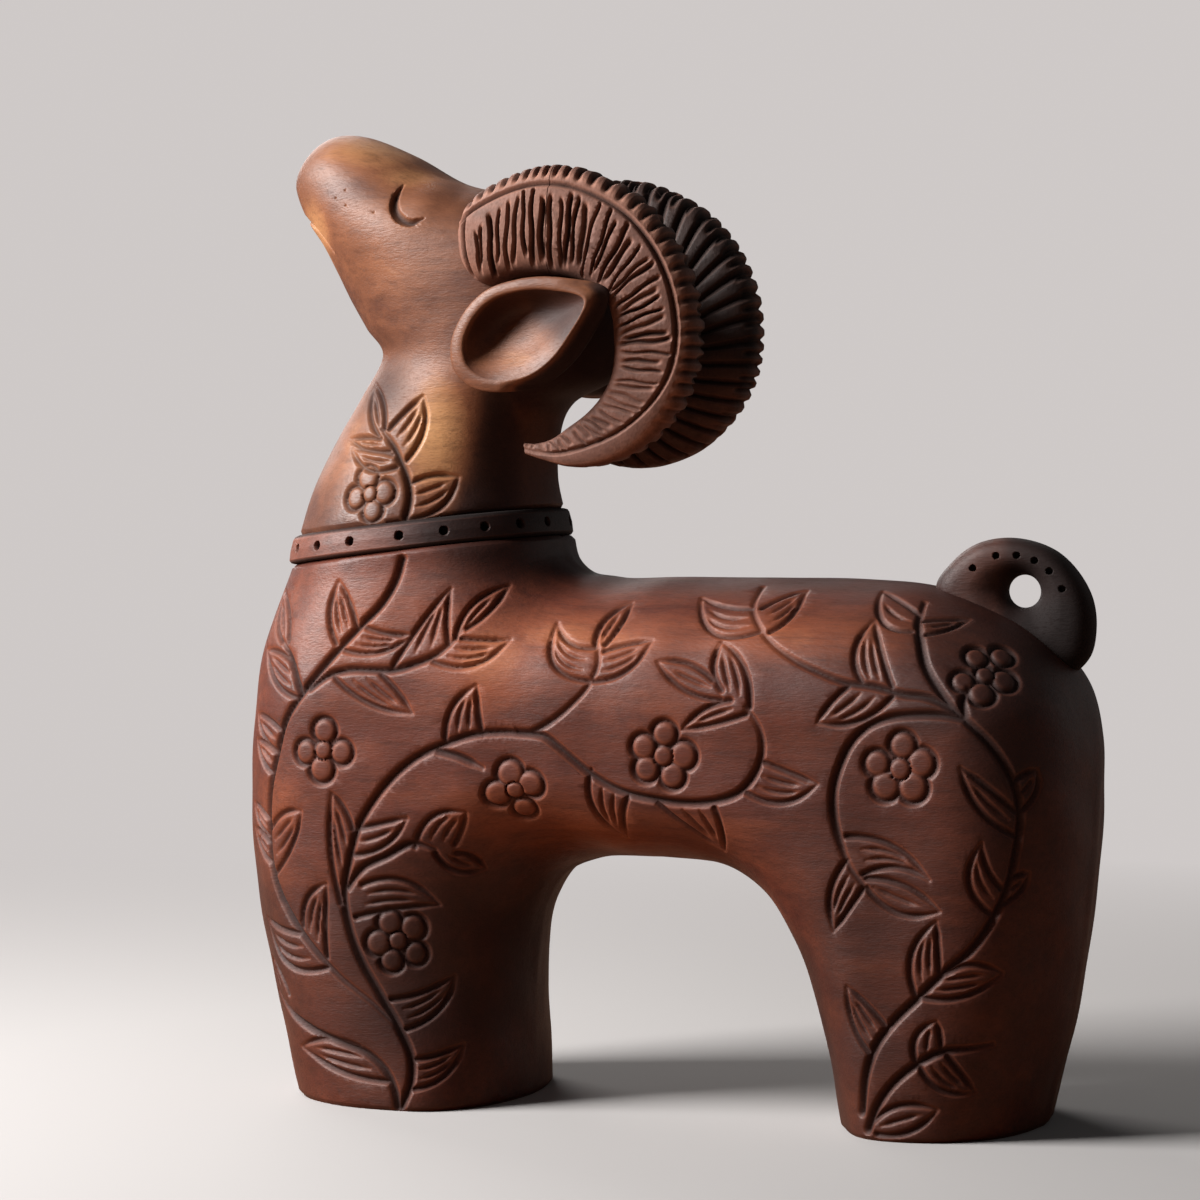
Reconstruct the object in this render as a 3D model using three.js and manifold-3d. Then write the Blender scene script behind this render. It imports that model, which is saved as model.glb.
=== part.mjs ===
// A carved wooden ram that looks up over its shoulder, about 300 mm tall.
// The block-legged body is glued up from two planks. A drilled collar joins it to the neck and head,
// and the horns, the ears and the looped tail are carved apart and fixed with hidden dowels.
// Millimetres, +Z up. The ram faces -X, stands on Z = 0 and is symmetric about Y = 0.

import * as THREE from 'three';
import { mergeVertices } from 'three/addons/utils/BufferGeometryUtils.js';
import Module from 'manifold-3d';

const wasm = await Module();
wasm.setup();

// Fits: space in a glue line, around a let-in seat and around a dowel.
const GLUE_GAP = 0.3;
const SEAT_GAP = 0.3;
const DOWEL_GAP = 0.3;

// Body: half width of the flanks and of the neck stub, and how far each edge is rounded over.
const FLANK_HALF_WIDTH = 46;
const NECK_HALF_WIDTH = 39;
const NECK_TAPER = { from: 120, to: 180 };
const CHEST_ROUND = 45;
const BACK_ROUND = 40;
const ARCH_ROUND = 28;
const ROUND_POWER = 2.5;

// The front leg is nearly a column: how much farther its inner side is rounded, and where that fades out.
const LEG_ROUND = { more: 24, foot: [0, 45], belly: [75, 115], across: [-45, 0] };

// Body outlines on the centre plane, as [x, z].
const CHEST_LINE = [
  [-120, 0], [-127, 28], [-132.6, 54], [-136, 90], [-135.6, 117], [-131.8, 143], [-123.2, 166],
];
const BACK_LINE = [
  [-34, 175.9], [-32, 169.6], [-27, 165], [-18, 163.2], [5, 163.2], [35, 163.2], [65, 163], [87, 161],
  [106, 154.5], [123, 144.3], [133, 131], [136.2, 116], [136.4, 97], [135.3, 80], [133.3, 61], [129.3, 36],
  [121, 0],
];
const ARCH_LINE = [
  [-44, 0], [-43.8, 25], [-42.5, 46], [-39.5, 61], [-33, 70.5], [-22, 75.3], [-2, 76.5], [16, 76],
  [29, 72.8], [38.5, 65.8], [46, 54.5], [52, 38], [57, 18], [60.5, 0],
];
const BODY_ROWS = { chest: 15, collar: 7, back: 26 };
const BODY_STEPS = 13;
const ARCH_SHARE = { chest: 0.4, collar: 0.5 };

// Collar: a tilted slice, wider than the neck, with a ring of blind holes.
const COLLAR = {
  slope: 0.112, centreX: -79.2, lowZ: 170.9, height: 9,
  halfLength: 44.6, halfWidth: 39.8, taper: 1.2, bevel: 1.2, squareness: 2.25, sides: 40,
  holesPerSide: 10, firstHole: 0.67, holeDiameter: 3, holeDepth: 3,
};

// Head and neck: front edge, back edge and half width at stations from the collar to the muzzle.
const HEAD = [
  { front: [-121.5, 175.2], back: [-36.5, 184.7], half: 38 },
  { front: [-115.2, 193], back: [-38.6, 195], half: 35.5 },
  { front: [-107.8, 207.5], back: [-38, 206.5], half: 33 },
  { front: [-100, 220], back: [-33, 217], half: 31 },
  { front: [-93.3, 232.5], back: [-17.5, 226], half: 30 },
  { front: [-99.5, 240.5], back: [-8.5, 246], half: 30.5 },
  { front: [-104.5, 248.5], back: [-22, 271], half: 30.5 },
  { front: [-109, 258], back: [-45, 280.3], half: 29 },
  { front: [-113.5, 266.5], back: [-66.5, 286.2], half: 26.5 },
  { front: [-118.3, 273.5], back: [-85, 295.7], half: 23.5 },
  { front: [-122, 281], back: [-101.5, 302.3], half: 18.5 },
  { front: [-123.3, 286], back: [-112.6, 301.5], half: 11.5 },
  { front: [-120.6, 292.8], back: [-120.6, 292.8], half: 0 },
];
const HEAD_ROWS = 34;
const HEAD_STEPS = 22;

// Left horn: outer edge, inner edge, distance from the centre plane and thickness, root to tip.
const HORN = [
  { outer: [-57, 267], inner: [-57, 265.5], offset: 29, thick: 2 },
  { outer: [-54.3, 275], inner: [-53.2, 257], offset: 29, thick: 16 },
  { outer: [-48, 281.6], inner: [-47, 252.6], offset: 29, thick: 19 },
  { outer: [-35, 287], inner: [-37, 255], offset: 29.5, thick: 20 },
  { outer: [-23.7, 288.5], inner: [-25.4, 255.2], offset: 30, thick: 20 },
  { outer: [-12, 286], inner: [-16.5, 253.5], offset: 30, thick: 20 },
  { outer: [2, 278.5], inner: [-10.5, 250.8], offset: 30, thick: 20 },
  { outer: [12.2, 267.5], inner: [-7.4, 247], offset: 30, thick: 19.5 },
  { outer: [18.5, 255], inner: [-5.8, 241.5], offset: 29.6, thick: 19 },
  { outer: [21, 243], inner: [-5.5, 236], offset: 29, thick: 18.5 },
  { outer: [20.8, 231], inner: [-5.7, 230.5], offset: 28.3, thick: 18 },
  { outer: [17.9, 220.7], inner: [-7.2, 224], offset: 27.5, thick: 17 },
  { outer: [11.5, 210.8], inner: [-11, 218], offset: 26.5, thick: 16 },
  { outer: [1.6, 202.3], inner: [-16.3, 213], offset: 25.7, thick: 14 },
  { outer: [-10.6, 197.6], inner: [-22.4, 209], offset: 25.2, thick: 11.5 },
  { outer: [-21.8, 197], inner: [-27.8, 205.6], offset: 25, thick: 8.5 },
  { outer: [-30.3, 199.3], inner: [-32.8, 203.6], offset: 25.3, thick: 5 },
  { outer: [-36.3, 203], inner: [-36.3, 203], offset: 25.8, thick: 1 },
];
const HORN_SPLICE_STATION = 4;
const HORN_ROOT_ROWS = 9;
const HORN_CURL_ROWS = 27;
const HORN_STEPS = 16;
const HORN_SQUARENESS = 3;

// Ear: rim outline as [x, z], its tilted rim plane, and the section from the hollow round to the back.
const EAR_RIM = [
  [-5.5, 249.4], [-18, 252.9], [-32, 252.9], [-43.4, 249.5], [-51, 242.1], [-54.3, 234], [-53, 226.2],
  [-46.7, 221.4], [-36.9, 220.2], [-27.2, 222.2], [-19.1, 227.5], [-12, 236],
];
const EAR_CENTRE = [-33, 236];
const EAR_RIM_OFFSET = 44;
const EAR_RIM_TILT = 0.06;
const EAR_SECTION = [
  { reach: 0, depth: 8.5 }, { reach: 0.36, depth: 7.7 }, { reach: 0.64, depth: 4.9 },
  { reach: 0.8, depth: 1.5 }, { reach: 0.88, depth: 0 }, { reach: 0.96, depth: 0.7 },
  { reach: 1, depth: 3 }, { reach: 0.94, depth: 7.5 }, { reach: 0.76, depth: 13 },
  { reach: 0.45, depth: 17.5 }, { reach: 0, depth: 19.5 },
];
const EAR_STEPS = 22;

// Tail: a rounded loop let into the corner of the rump. Its eye opens like a funnel to both sides.
const TAIL_OUTLINE = [
  [86.5, 161], [91.5, 168.5], [98.5, 173.7], [106.5, 175.7], [115, 175], [123, 171.8], [130, 165],
  [134, 157.3], [135, 149], [133, 140], [126.5, 134.5], [115.5, 137], [103, 144.5], [92, 152.5],
];
const TAIL_EYE = { x: 113.6, z: 159.8, radius: 4.9 };
const TAIL_HALF_THICKNESS = 7.5;
const TAIL_SQUARENESS = 2.6;
const TAIL_FUNNEL_SQUARENESS = 1.7;
const TAIL_ROWS = 28;
const TAIL_STEPS = 14;
const TAIL_HOLES = { diameter: 2, depth: 2.2, reach: 0.69, firstAngle: 4, lastAngle: 154, count: 6 };

// Vine on each flank, as [x, z] on the left one. A stem is a smooth V cut through its points.
const VINE_STEMS = [
  [
    [-72, 169], [-74, 162], [-78, 155], [-84, 149], [-92, 141], [-99, 133], [-104, 127], [-110, 119],
    [-114, 108], [-117, 97], [-118, 85], [-117, 74], [-113, 64], [-107, 56], [-99, 48], [-90, 40],
    [-80, 33], [-73, 27],
  ],
  [
    [-101, 129], [-95, 133], [-87, 135], [-80, 135], [-73, 135], [-66, 137], [-59, 140], [-54, 144],
    [-51, 148],
  ],
  [
    [-70, 1], [-67, 9], [-67, 16], [-71, 25], [-77, 35], [-83, 45], [-87, 55], [-89, 66], [-87, 77],
    [-84, 87], [-79, 95], [-72, 103], [-64, 109], [-55, 113], [-46, 116], [-36, 117], [-28, 117],
    [-20, 121], [-14, 126], [-9, 132], [-7, 138], [-8, 143],
  ],
  [
    [-32, 117], [-23, 116], [-16, 111], [-8, 105], [2, 100], [12, 98], [22, 97], [31, 98], [39, 101],
    [44, 107], [46, 114], [45, 120], [41, 126],
  ],
  [[-88, 68], [-83, 74], [-75, 78], [-66, 82], [-60, 80]],
  [[-71, 1], [-72, 6], [-75, 12], [-81, 17], [-90, 20], [-101, 23], [-111, 27], [-120, 33]],
  [
    [76, 8], [78, 20], [81, 28], [86, 35], [93, 42], [101, 50], [109, 57], [115, 66], [119, 76], [121, 86],
    [122, 95], [121, 103], [118, 111], [114, 117], [109, 122], [103, 127], [96, 130], [88, 131], [80, 133],
    [71, 134], [62, 137], [53, 141], [45, 146], [40, 151], [37, 155], [36, 161],
  ],
  [[103, 127], [99, 132], [94, 139], [91, 146], [89, 151], [88, 157]],
  [
    [107, 124], [101, 125], [93, 125], [85, 124], [78, 121], [73, 116], [70, 110], [68, 103], [68, 95],
    [70, 87], [73, 80], [77, 75],
  ],
  [[78, 3], [81, 10], [86, 17], [93, 23], [100, 27], [108, 28], [114, 29]],
];
// The larger leaves: two feet on the stem, a tip, and each edge's bulge as a share of its length.
const VINE_LEAVES = [
  { feet: [[-93, 143], [-86, 148]], tip: [-94, 162], bulge: [0.15, 0.05] },
  { feet: [[-117, 85], [-115, 71]], tip: [-104, 91], bulge: [0.14, 0.08] },
  { feet: [[-105, 53], [-95, 43]], tip: [-122, 56], bulge: [-0.05, 0.24] },
  { feet: [[-74, 34], [-69, 25]], tip: [-57, 41], bulge: [-0.08, 0.17] },
  { feet: [[-73, 136], [-55, 143]], tip: [-56, 160], bulge: [0.03, -0.05] },
  { feet: [[-51, 145], [-60, 138]], tip: [-36, 145], bulge: [-0.02, 0.19] },
  { feet: [[-77, 134], [-93, 133]], tip: [-66, 122], bulge: [0.04, 0.1] },
  { feet: [[-55, 113], [-43, 116]], tip: [-45, 131], bulge: [0.17, -0.03] },
  { feet: [[-90, 63], [-86, 86]], tip: [-93, 97], bulge: [0.06, 0.07] },
  { feet: [[-83, 69], [-85, 59]], tip: [-60, 63], bulge: [0.2, -0.03] },
  { feet: [[-9, 143], [-9, 133]], tip: [-23, 150], bulge: [-0.17, 0.28] },
  { feet: [[-6, 142], [-8, 133]], tip: [9, 145], bulge: [0.04, 0.17] },
  { feet: [[30, 134], [33, 128]], tip: [12, 139], bulge: [0.12, 0.12] },
  { feet: [[33, 131], [42, 126]], tip: [31, 145], bulge: [0.16, 0.16] },
  { feet: [[46, 110], [41, 101]], tip: [63, 104], bulge: [0, 0.19] },
  { feet: [[-8, 106], [4, 99]], tip: [0, 85], bulge: [0.18, -0.05] },
  { feet: [[13, 97], [31, 96]], tip: [31, 82], bulge: [0.02, 0.1] },
  { feet: [[37, 155], [42, 148]], tip: [19, 158], bulge: [-0.05, 0.24] },
  { feet: [[76, 134], [85, 133]], tip: [76, 152], bulge: [0.2, 0] },
  { feet: [[72, 133], [86, 131]], tip: [63, 122], bulge: [0.05, 0.155] },
  { feet: [[121, 97], [121, 90]], tip: [106, 110], bulge: [0.03, 0.12] },
  { feet: [[93, 43], [100, 50]], tip: [99, 65], bulge: [0.2, 0] },
  { feet: [[72, 89], [77, 78]], tip: [97, 77], bulge: [0.14, -0.15] },
  { feet: [[78, 77], [78, 74]], tip: [100, 68], bulge: [0.115, 0.18] },
];
const VINE_FLOWERS = [
  { centre: [-96, 110], petals: 4, reach: 10, turn: 90 },
  { centre: [15, 111], petals: 5, reach: 10.5, turn: 80 },
  { centre: [-33, 99], petals: 4, reach: 10, turn: 106 },
  { centre: [-72, 52], petals: 5, reach: 10, turn: 110 },
  { centre: [88, 109], petals: 5, reach: 11, turn: 90 },
  { centre: [111, 137], petals: 5, reach: 9.5, turn: 125 },
];
const STEM_CUT = { halfWidth: 1.8, depth: 1.6, step: 9, thinEnd: 0.4 };
const LEAF_CUT = { halfWidth: 1.5, depth: 1.3, edges: 2, thinEnd: 0.4 };
const FLOWER_CUT = { halfWidth: 1.3, depth: 1.4, petalShare: 0.39, middleShare: 0.31, middleSides: 5 };
const CUT_PROUD = 2;

// Dowels: diameter, end points on the left side or on the centre plane.
const NECK_DOWEL = { diameter: 10, from: [-79, -16, 148], to: [-79, -16, 204] };
const HORN_DOWEL = { diameter: 6, from: [-45, -10, 267], to: [-45, -32, 267] };
const SPLICE_DOWEL = { diameter: 6, from: [-37, -30, 271.5], to: [-13, -30, 271] };
const EAR_DOWEL = { diameter: 5, from: [-36, -12, 235], to: [-36, -31.5, 235] };
const TAIL_DOWEL_FRONT = { diameter: 5, from: [106, 0, 153.4], to: [88, 0, 138.8] };
const TAIL_DOWEL_REAR = { diameter: 5, from: [117.2, 0, 147.6], to: [123.6, 0, 125.6] };
const SHOULDER_DOWEL = { diameter: 10, from: [-92, -25, 112], to: [-92, 25, 112] };
const RUMP_DOWEL = { diameter: 10, from: [98, -25, 100], to: [98, 25, 100] };
const DOWEL_SIDES = 12;
const DRILL_SIDES = 7;

const COLOURS = { oiled: 0x6f4030, shaded: 0x4d2c24, horn: 0x5d3c31, dowel: 0xc8a878 };

// Curves and numbers

const point = ([x, z]) => new THREE.Vector3(x, 0, z);
const smooth = THREE.MathUtils.smoothstep;

// Evenly spaced points along a smooth outline on the centre plane.
function outline(points, count, closed = false) {
  return new THREE.CatmullRomCurve3(points.map(point), closed).getSpacedPoints(count);
}

// A smooth curve read by station number instead of by length.
function stationCurve(vectors) {
  const curve = new THREE.CatmullRomCurve3(vectors, false, 'catmullrom', 0.5);
  return (station) => curve.getPoint(station / (vectors.length - 1));
}

// The line carried straight on at both ends, so that distances to it have no end effects.
function prolonged(line, length = 14) {
  const first = line[0].clone().sub(line[1]).setLength(length).add(line[0]);
  const n = line.length - 1;
  const last = line[n].clone().sub(line[n - 1]).setLength(length).add(line[n]);
  return [first, ...line, last];
}

function distanceTo(line, p) {
  let best = Infinity;
  const foot = new THREE.Vector3();
  const segment = new THREE.Line3();
  for (let i = 1; i < line.length; i += 1) {
    segment.set(line[i - 1], line[i]).closestPointToPoint(p, true, foot);
    best = Math.min(best, foot.distanceTo(p));
  }
  return best;
}

// A rounded-over edge: 0 at the edge, 1 from the given distance on.
function roundOver(distance, reach) {
  const rest = 1 - Math.min(distance / reach, 1);
  return Math.sqrt(1 - rest ** ROUND_POWER);
}

// Cosine or sine of a superellipse, whose corners fill out as squareness grows above 2.
function squared(value, squareness) {
  return Math.sign(value) * Math.abs(value) ** (2 / squareness);
}

// Solids

// A closed solid from corner points and triangles: shared corners are joined, empty triangles dropped.
function closedGeometry(points, triangles) {
  const soup = new THREE.BufferGeometry();
  soup.setAttribute('position', new THREE.Float32BufferAttribute(points.flatMap((p) => p.toArray()), 3));
  soup.setIndex(triangles);
  const joined = mergeVertices(soup, 1e-3);
  const kept = [];
  const index = joined.index.array;
  for (let i = 0; i < index.length; i += 3) {
    const [a, b, c] = index.slice(i, i + 3);
    if (a !== b && b !== c && c !== a) {
      kept.push(a, b, c);
    }
  }
  joined.setIndex(signedVolume(joined.attributes.position, kept) < 0 ? kept.reverse() : kept);
  return joined;
}

// Six times the enclosed volume, positive when the faces point outward.
function signedVolume(position, index) {
  const corner = (k) => new THREE.Vector3().fromBufferAttribute(position, index[k]);
  let sum = 0;
  for (let i = 0; i < index.length; i += 3) {
    sum += corner(i).dot(corner(i + 1).cross(corner(i + 2)));
  }
  return sum;
}

function toManifold(geometry) {
  return new wasm.Manifold(new wasm.Mesh({
    numProp: 3,
    vertProperties: new Float32Array(geometry.attributes.position.array),
    triVerts: new Uint32Array(geometry.index.array),
  }));
}

function fromManifold(solid) {
  const mesh = solid.getMesh();
  const geometry = new THREE.BufferGeometry();
  geometry.setAttribute('position', new THREE.BufferAttribute(mesh.vertProperties, 3));
  geometry.setIndex(new THREE.BufferAttribute(mesh.triVerts, 1));
  return geometry;
}

function cut(geometry, cutters) {
  let solid = toManifold(geometry);
  for (const cutter of cutters) {
    solid = solid.subtract(toManifold(cutter));
  }
  return fromManifold(solid);
}

// The same solid with every corner moved out along its normal, for cutting a seat with space around it.
function grown(geometry, amount = SEAT_GAP) {
  const bigger = geometry.clone();
  bigger.deleteAttribute('normal');
  bigger.computeVertexNormals();
  const { position, normal } = bigger.attributes;
  const p = new THREE.Vector3();
  const n = new THREE.Vector3();
  for (let i = 0; i < position.count; i += 1) {
    p.fromBufferAttribute(position, i);
    n.fromBufferAttribute(normal, i);
    p.addScaledVector(n, amount);
    position.setXYZ(i, p.x, p.y, p.z);
  }
  bigger.deleteAttribute('normal');
  return bigger;
}

function mirrored(geometry) {
  const other = geometry.clone();
  other.scale(1, -1, 1);
  const index = other.index.array;
  for (let i = 0; i < index.length; i += 3) {
    const held = index[i + 1];
    index[i + 1] = index[i + 2];
    index[i + 2] = held;
  }
  return other;
}

// Triangles of a skin over rows of points that each run once round. The end rows are closed by fans.
function skin(rows, closedLoop = false) {
  const points = rows.flat();
  const steps = rows[0].length;
  const triangles = [];
  const rowCount = closedLoop ? rows.length : rows.length - 1;
  for (let i = 0; i < rowCount; i += 1) {
    const here = i * steps;
    const next = ((i + 1) % rows.length) * steps;
    for (let j = 0; j < steps; j += 1) {
      const k = (j + 1) % steps;
      triangles.push(here + j, next + j, next + k);
      triangles.push(here + j, next + k, here + k);
    }
  }
  if (!closedLoop) {
    for (const [row, flip] of [[0, true], [rows.length - 1, false]]) {
      const centre = new THREE.Vector3();
      rows[row].forEach((p) => centre.addScaledVector(p, 1 / steps));
      const hub = points.push(centre) - 1;
      for (let j = 0; j < steps; j += 1) {
        const a = row * steps + j;
        const b = row * steps + (j + 1) % steps;
        triangles.push(hub, ...(flip ? [a, b] : [b, a]));
      }
    }
  }
  return closedGeometry(points, triangles);
}

// One rounded section between two edge points of the centre plane, at an offset, with a half width.
function section(edgeA, edgeB, offset, half, steps, squareness, squarenessB = squareness) {
  const middle = edgeA.clone().add(edgeB).multiplyScalar(0.5);
  const arm = edgeA.clone().sub(edgeB).multiplyScalar(0.5);
  return Array.from({ length: steps }, (_, j) => {
    const angle = (j / steps) * 2 * Math.PI;
    const corner = Math.cos(angle) < 0 ? squarenessB : squareness;
    const p = middle.clone().addScaledVector(arm, squared(Math.cos(angle), corner));
    p.y = offset + half * squared(Math.sin(angle), corner);
    return p;
  });
}

// Dowels and the sockets that they fit

function dowelGeometry({ diameter, from, to }, gap = 0, sides = DOWEL_SIDES) {
  const a = new THREE.Vector3(...from);
  const b = new THREE.Vector3(...to);
  const axis = b.clone().sub(a);
  const length = axis.length() + 2 * gap;
  const radius = diameter / 2 + gap;
  const geometry = new THREE.CylinderGeometry(radius, radius, length, sides);
  geometry.deleteAttribute('normal');
  geometry.deleteAttribute('uv');
  const turn = new THREE.Quaternion().setFromUnitVectors(new THREE.Vector3(0, 1, 0), axis.normalize());
  geometry.applyQuaternion(turn);
  const middle = a.add(b).multiplyScalar(0.5);
  geometry.translate(middle.x, middle.y, middle.z);
  return mergeVertices(geometry, 1e-3);
}

const socket = (dowel) => dowelGeometry(dowel, DOWEL_GAP);

function opposite({ diameter, from, to }) {
  return { diameter, from: [from[0], -from[1], from[2]], to: [to[0], -to[1], to[2]] };
}

// A short drilled hole whose mouth stands clear of the surface.
function drill(mouth, inward, diameter, depth) {
  const start = mouth.clone().addScaledVector(inward, -2);
  const end = mouth.clone().addScaledVector(inward, depth);
  return dowelGeometry({ diameter, from: start.toArray(), to: end.toArray() }, 0, DRILL_SIDES);
}

// Body halves

const collarLowZ = (x) => COLLAR.lowZ + COLLAR.slope * (x - COLLAR.centreX);
const chest = outline(CHEST_LINE, BODY_ROWS.chest);
const back = outline(BACK_LINE, BODY_ROWS.back);
const arch = outline(ARCH_LINE, 120);
const chestEdge = prolonged(outline(CHEST_LINE, 60));
const backEdge = prolonged(outline(BACK_LINE, 110));
const archEdge = prolonged(outline(ARCH_LINE, 80));

// Reach of the round at the arch: the leg's share fades toward the foot, the belly and the rear.
function archReach(p) {
  const { more, foot, belly, across } = LEG_ROUND;
  const leg = smooth(p.z, ...foot) * (1 - smooth(p.z, ...belly)) * (1 - smooth(p.x, ...across));
  return ARCH_ROUND + more * leg;
}

// Height of the flank over the centre plane: the full half width, rounded over toward all three edges.
function flank(p) {
  const taper = smooth(p.z, NECK_TAPER.from, NECK_TAPER.to);
  const width = THREE.MathUtils.lerp(FLANK_HALF_WIDTH, NECK_HALF_WIDTH, taper) - GLUE_GAP / 2;
  return width
    * roundOver(distanceTo(chestEdge, p), CHEST_ROUND)
    * roundOver(distanceTo(backEdge, p), BACK_ROUND)
    * roundOver(distanceTo(archEdge, p), archReach(p));
}

// Rows fan out from the arch under the belly to the chest, the collar seat and the back.
function bodyRows() {
  const rows = [];
  const add = (outer, share) => rows.push({ outer, inner: arch[Math.round(share * 120)] });
  chest.forEach((p, i) => add(p, ARCH_SHARE.chest * (i / BODY_ROWS.chest)));
  const [seatFront, seatBack] = [chest[BODY_ROWS.chest], back[0]];
  for (let i = 1; i <= BODY_ROWS.collar; i += 1) {
    const f = i / (BODY_ROWS.collar + 1);
    add(seatFront.clone().lerp(seatBack, f), THREE.MathUtils.lerp(ARCH_SHARE.chest, ARCH_SHARE.collar, f));
  }
  back.forEach((p, i) => add(p, THREE.MathUtils.lerp(ARCH_SHARE.collar, 1, i / BODY_ROWS.back)));
  return rows;
}

function leftBodyBlank() {
  const rows = bodyRows();
  const glueY = -GLUE_GAP / 2;
  const points = [];
  const triangles = [];
  const quad = (a, b, c, d) => triangles.push(a, b, c, a, c, d);
  const index = (row, step, outside) => (row * (BODY_STEPS + 1) + step) * 2 + (outside ? 1 : 0);
  rows.forEach(({ outer, inner }) => {
    for (let j = 0; j <= BODY_STEPS; j += 1) {
      const share = 0.5 - 0.5 * Math.cos((j / BODY_STEPS) * Math.PI);
      const p = inner.clone().lerp(outer, share);
      const onEdge = j === 0;
      const height = onEdge ? 0 : flank(p);
      p.y = glueY;
      points.push(p, p.clone().setY(glueY - (height < 0.02 ? 0 : height)));
    }
  });
  const last = rows.length - 1;
  for (let i = 0; i < last; i += 1) {
    for (let j = 0; j < BODY_STEPS; j += 1) {
      quad(index(i, j, 1), index(i, j + 1, 1), index(i + 1, j + 1, 1), index(i + 1, j, 1));
    }
    const rim = BODY_STEPS;
    quad(index(i, rim, 1), index(i, rim, 0), index(i + 1, rim, 0), index(i + 1, rim, 1));
  }
  for (let j = 0; j < BODY_STEPS; j += 1) {
    quad(index(0, j, 0), index(0, j + 1, 0), index(0, j + 1, 1), index(0, j, 1));
    quad(index(last, j + 1, 0), index(last, j, 0), index(last, j, 1), index(last, j + 1, 1));
  }
  const rim = [];
  for (let j = 0; j <= BODY_STEPS; j += 1) {
    rim.push(index(0, j, 0));
  }
  for (let i = 1; i <= last; i += 1) {
    rim.push(index(i, BODY_STEPS, 0));
  }
  for (let j = BODY_STEPS - 1; j >= 0; j -= 1) {
    rim.push(index(last, j, 0));
  }
  for (let i = last - 1; i > 0; i -= 1) {
    rim.push(index(i, 0, 0));
  }
  const flat = rim.map((k) => new THREE.Vector2(points[k].x, points[k].z));
  for (const face of THREE.ShapeUtils.triangulateShape(flat, [])) {
    triangles.push(rim[face[0]], rim[face[1]], rim[face[2]]);
  }
  return closedGeometry(points, triangles);
}

// Vine cuts

// A place on the left flank with its outward normal, which follows from the slopes of the flank's height.
function onFlank(p, step = 0.5) {
  const rise = (dx, dz) => flank(p.clone().add(new THREE.Vector3(dx, 0, dz)));
  const slopeX = (rise(step, 0) - rise(-step, 0)) / (2 * step);
  const slopeZ = (rise(0, step) - rise(0, -step)) / (2 * step);
  return {
    place: p.clone().setY(-GLUE_GAP / 2 - flank(p)),
    normal: new THREE.Vector3(-slopeX, -1, -slopeZ).normalize(),
  };
}

// A V cut along a path on the flank: three-cornered sections whose open side stands proud of the wood.
function vineCut(path, { halfWidth, depth, thinEnd = 1 }, closed = false) {
  const spots = path.map((p) => onFlank(p));
  const last = spots.length - 1;
  const at = (i) => spots[closed ? (i + spots.length) % spots.length : THREE.MathUtils.clamp(i, 0, last)];
  const rows = spots.map(({ place, normal }, i) => {
    const along = at(i + 1).place.clone().sub(at(i - 1).place);
    const side = along.cross(normal).normalize();
    const share = !closed && (i === 0 || i === last) ? thinEnd : 1;
    const reach = halfWidth * (share + CUT_PROUD / depth);
    const mouth = place.clone().addScaledVector(normal, CUT_PROUD);
    return [
      mouth.clone().addScaledVector(side, reach),
      mouth.clone().addScaledVector(side, -reach),
      place.clone().addScaledVector(normal, -depth * share),
    ];
  });
  return skin(rows, closed);
}

function stemCut(points) {
  const curve = new THREE.CatmullRomCurve3(points.map(point));
  const pieces = Math.max(2, Math.round(curve.getLength() / STEM_CUT.step));
  return vineCut(curve.getSpacedPoints(pieces), STEM_CUT);
}

// Both edges of a leaf: arcs from its feet to its tip.
function leafCuts({ feet, tip, bulge }) {
  const end = point(tip);
  return feet.map((foot, i) => {
    const start = point(foot);
    const chord = end.clone().sub(start);
    const outward = new THREE.Vector3(-chord.z, 0, chord.x);
    const away = start.clone().sub(point(feet[1 - i])).dot(outward) < 0 ? -2 : 2;
    const middle = start.clone().add(end).multiplyScalar(0.5).addScaledVector(outward, away * bulge[i]);
    return vineCut(new THREE.QuadraticBezierCurve3(start, middle, end).getPoints(LEAF_CUT.edges), LEAF_CUT);
  });
}

// Scalloped edge of a flower's petals, and the ring round its middle.
function flowerCuts({ centre, petals, reach, turn }) {
  const hub = point(centre);
  const around = (middle, radius, degrees) => {
    const angle = THREE.MathUtils.degToRad(degrees);
    return middle.clone().add(new THREE.Vector3(radius * Math.cos(angle), 0, radius * Math.sin(angle)));
  };
  const petal = reach * FLOWER_CUT.petalShare;
  const scallops = Array.from({ length: petals }, (_, i) => {
    const degrees = turn + (360 / petals) * i;
    const middle = around(hub, reach - petal, degrees);
    return [-75, 0, 75].map((swing) => around(middle, petal, degrees + swing));
  });
  const ring = Array.from({ length: FLOWER_CUT.middleSides }, (_, i) => (
    around(hub, reach * FLOWER_CUT.middleShare, (360 / FLOWER_CUT.middleSides) * i)
  ));
  return [vineCut(scallops.flat(), FLOWER_CUT, true), vineCut(ring, FLOWER_CUT, true)];
}

// Collar

function collarRing(rise, inset) {
  return Array.from({ length: COLLAR.sides }, (_, j) => {
    const angle = (j / COLLAR.sides) * 2 * Math.PI;
    const x = COLLAR.centreX + (COLLAR.halfLength - inset) * squared(Math.cos(angle), COLLAR.squareness);
    const y = (COLLAR.halfWidth - inset) * squared(Math.sin(angle), COLLAR.squareness);
    return new THREE.Vector3(x, y, collarLowZ(x) + rise);
  });
}

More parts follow.
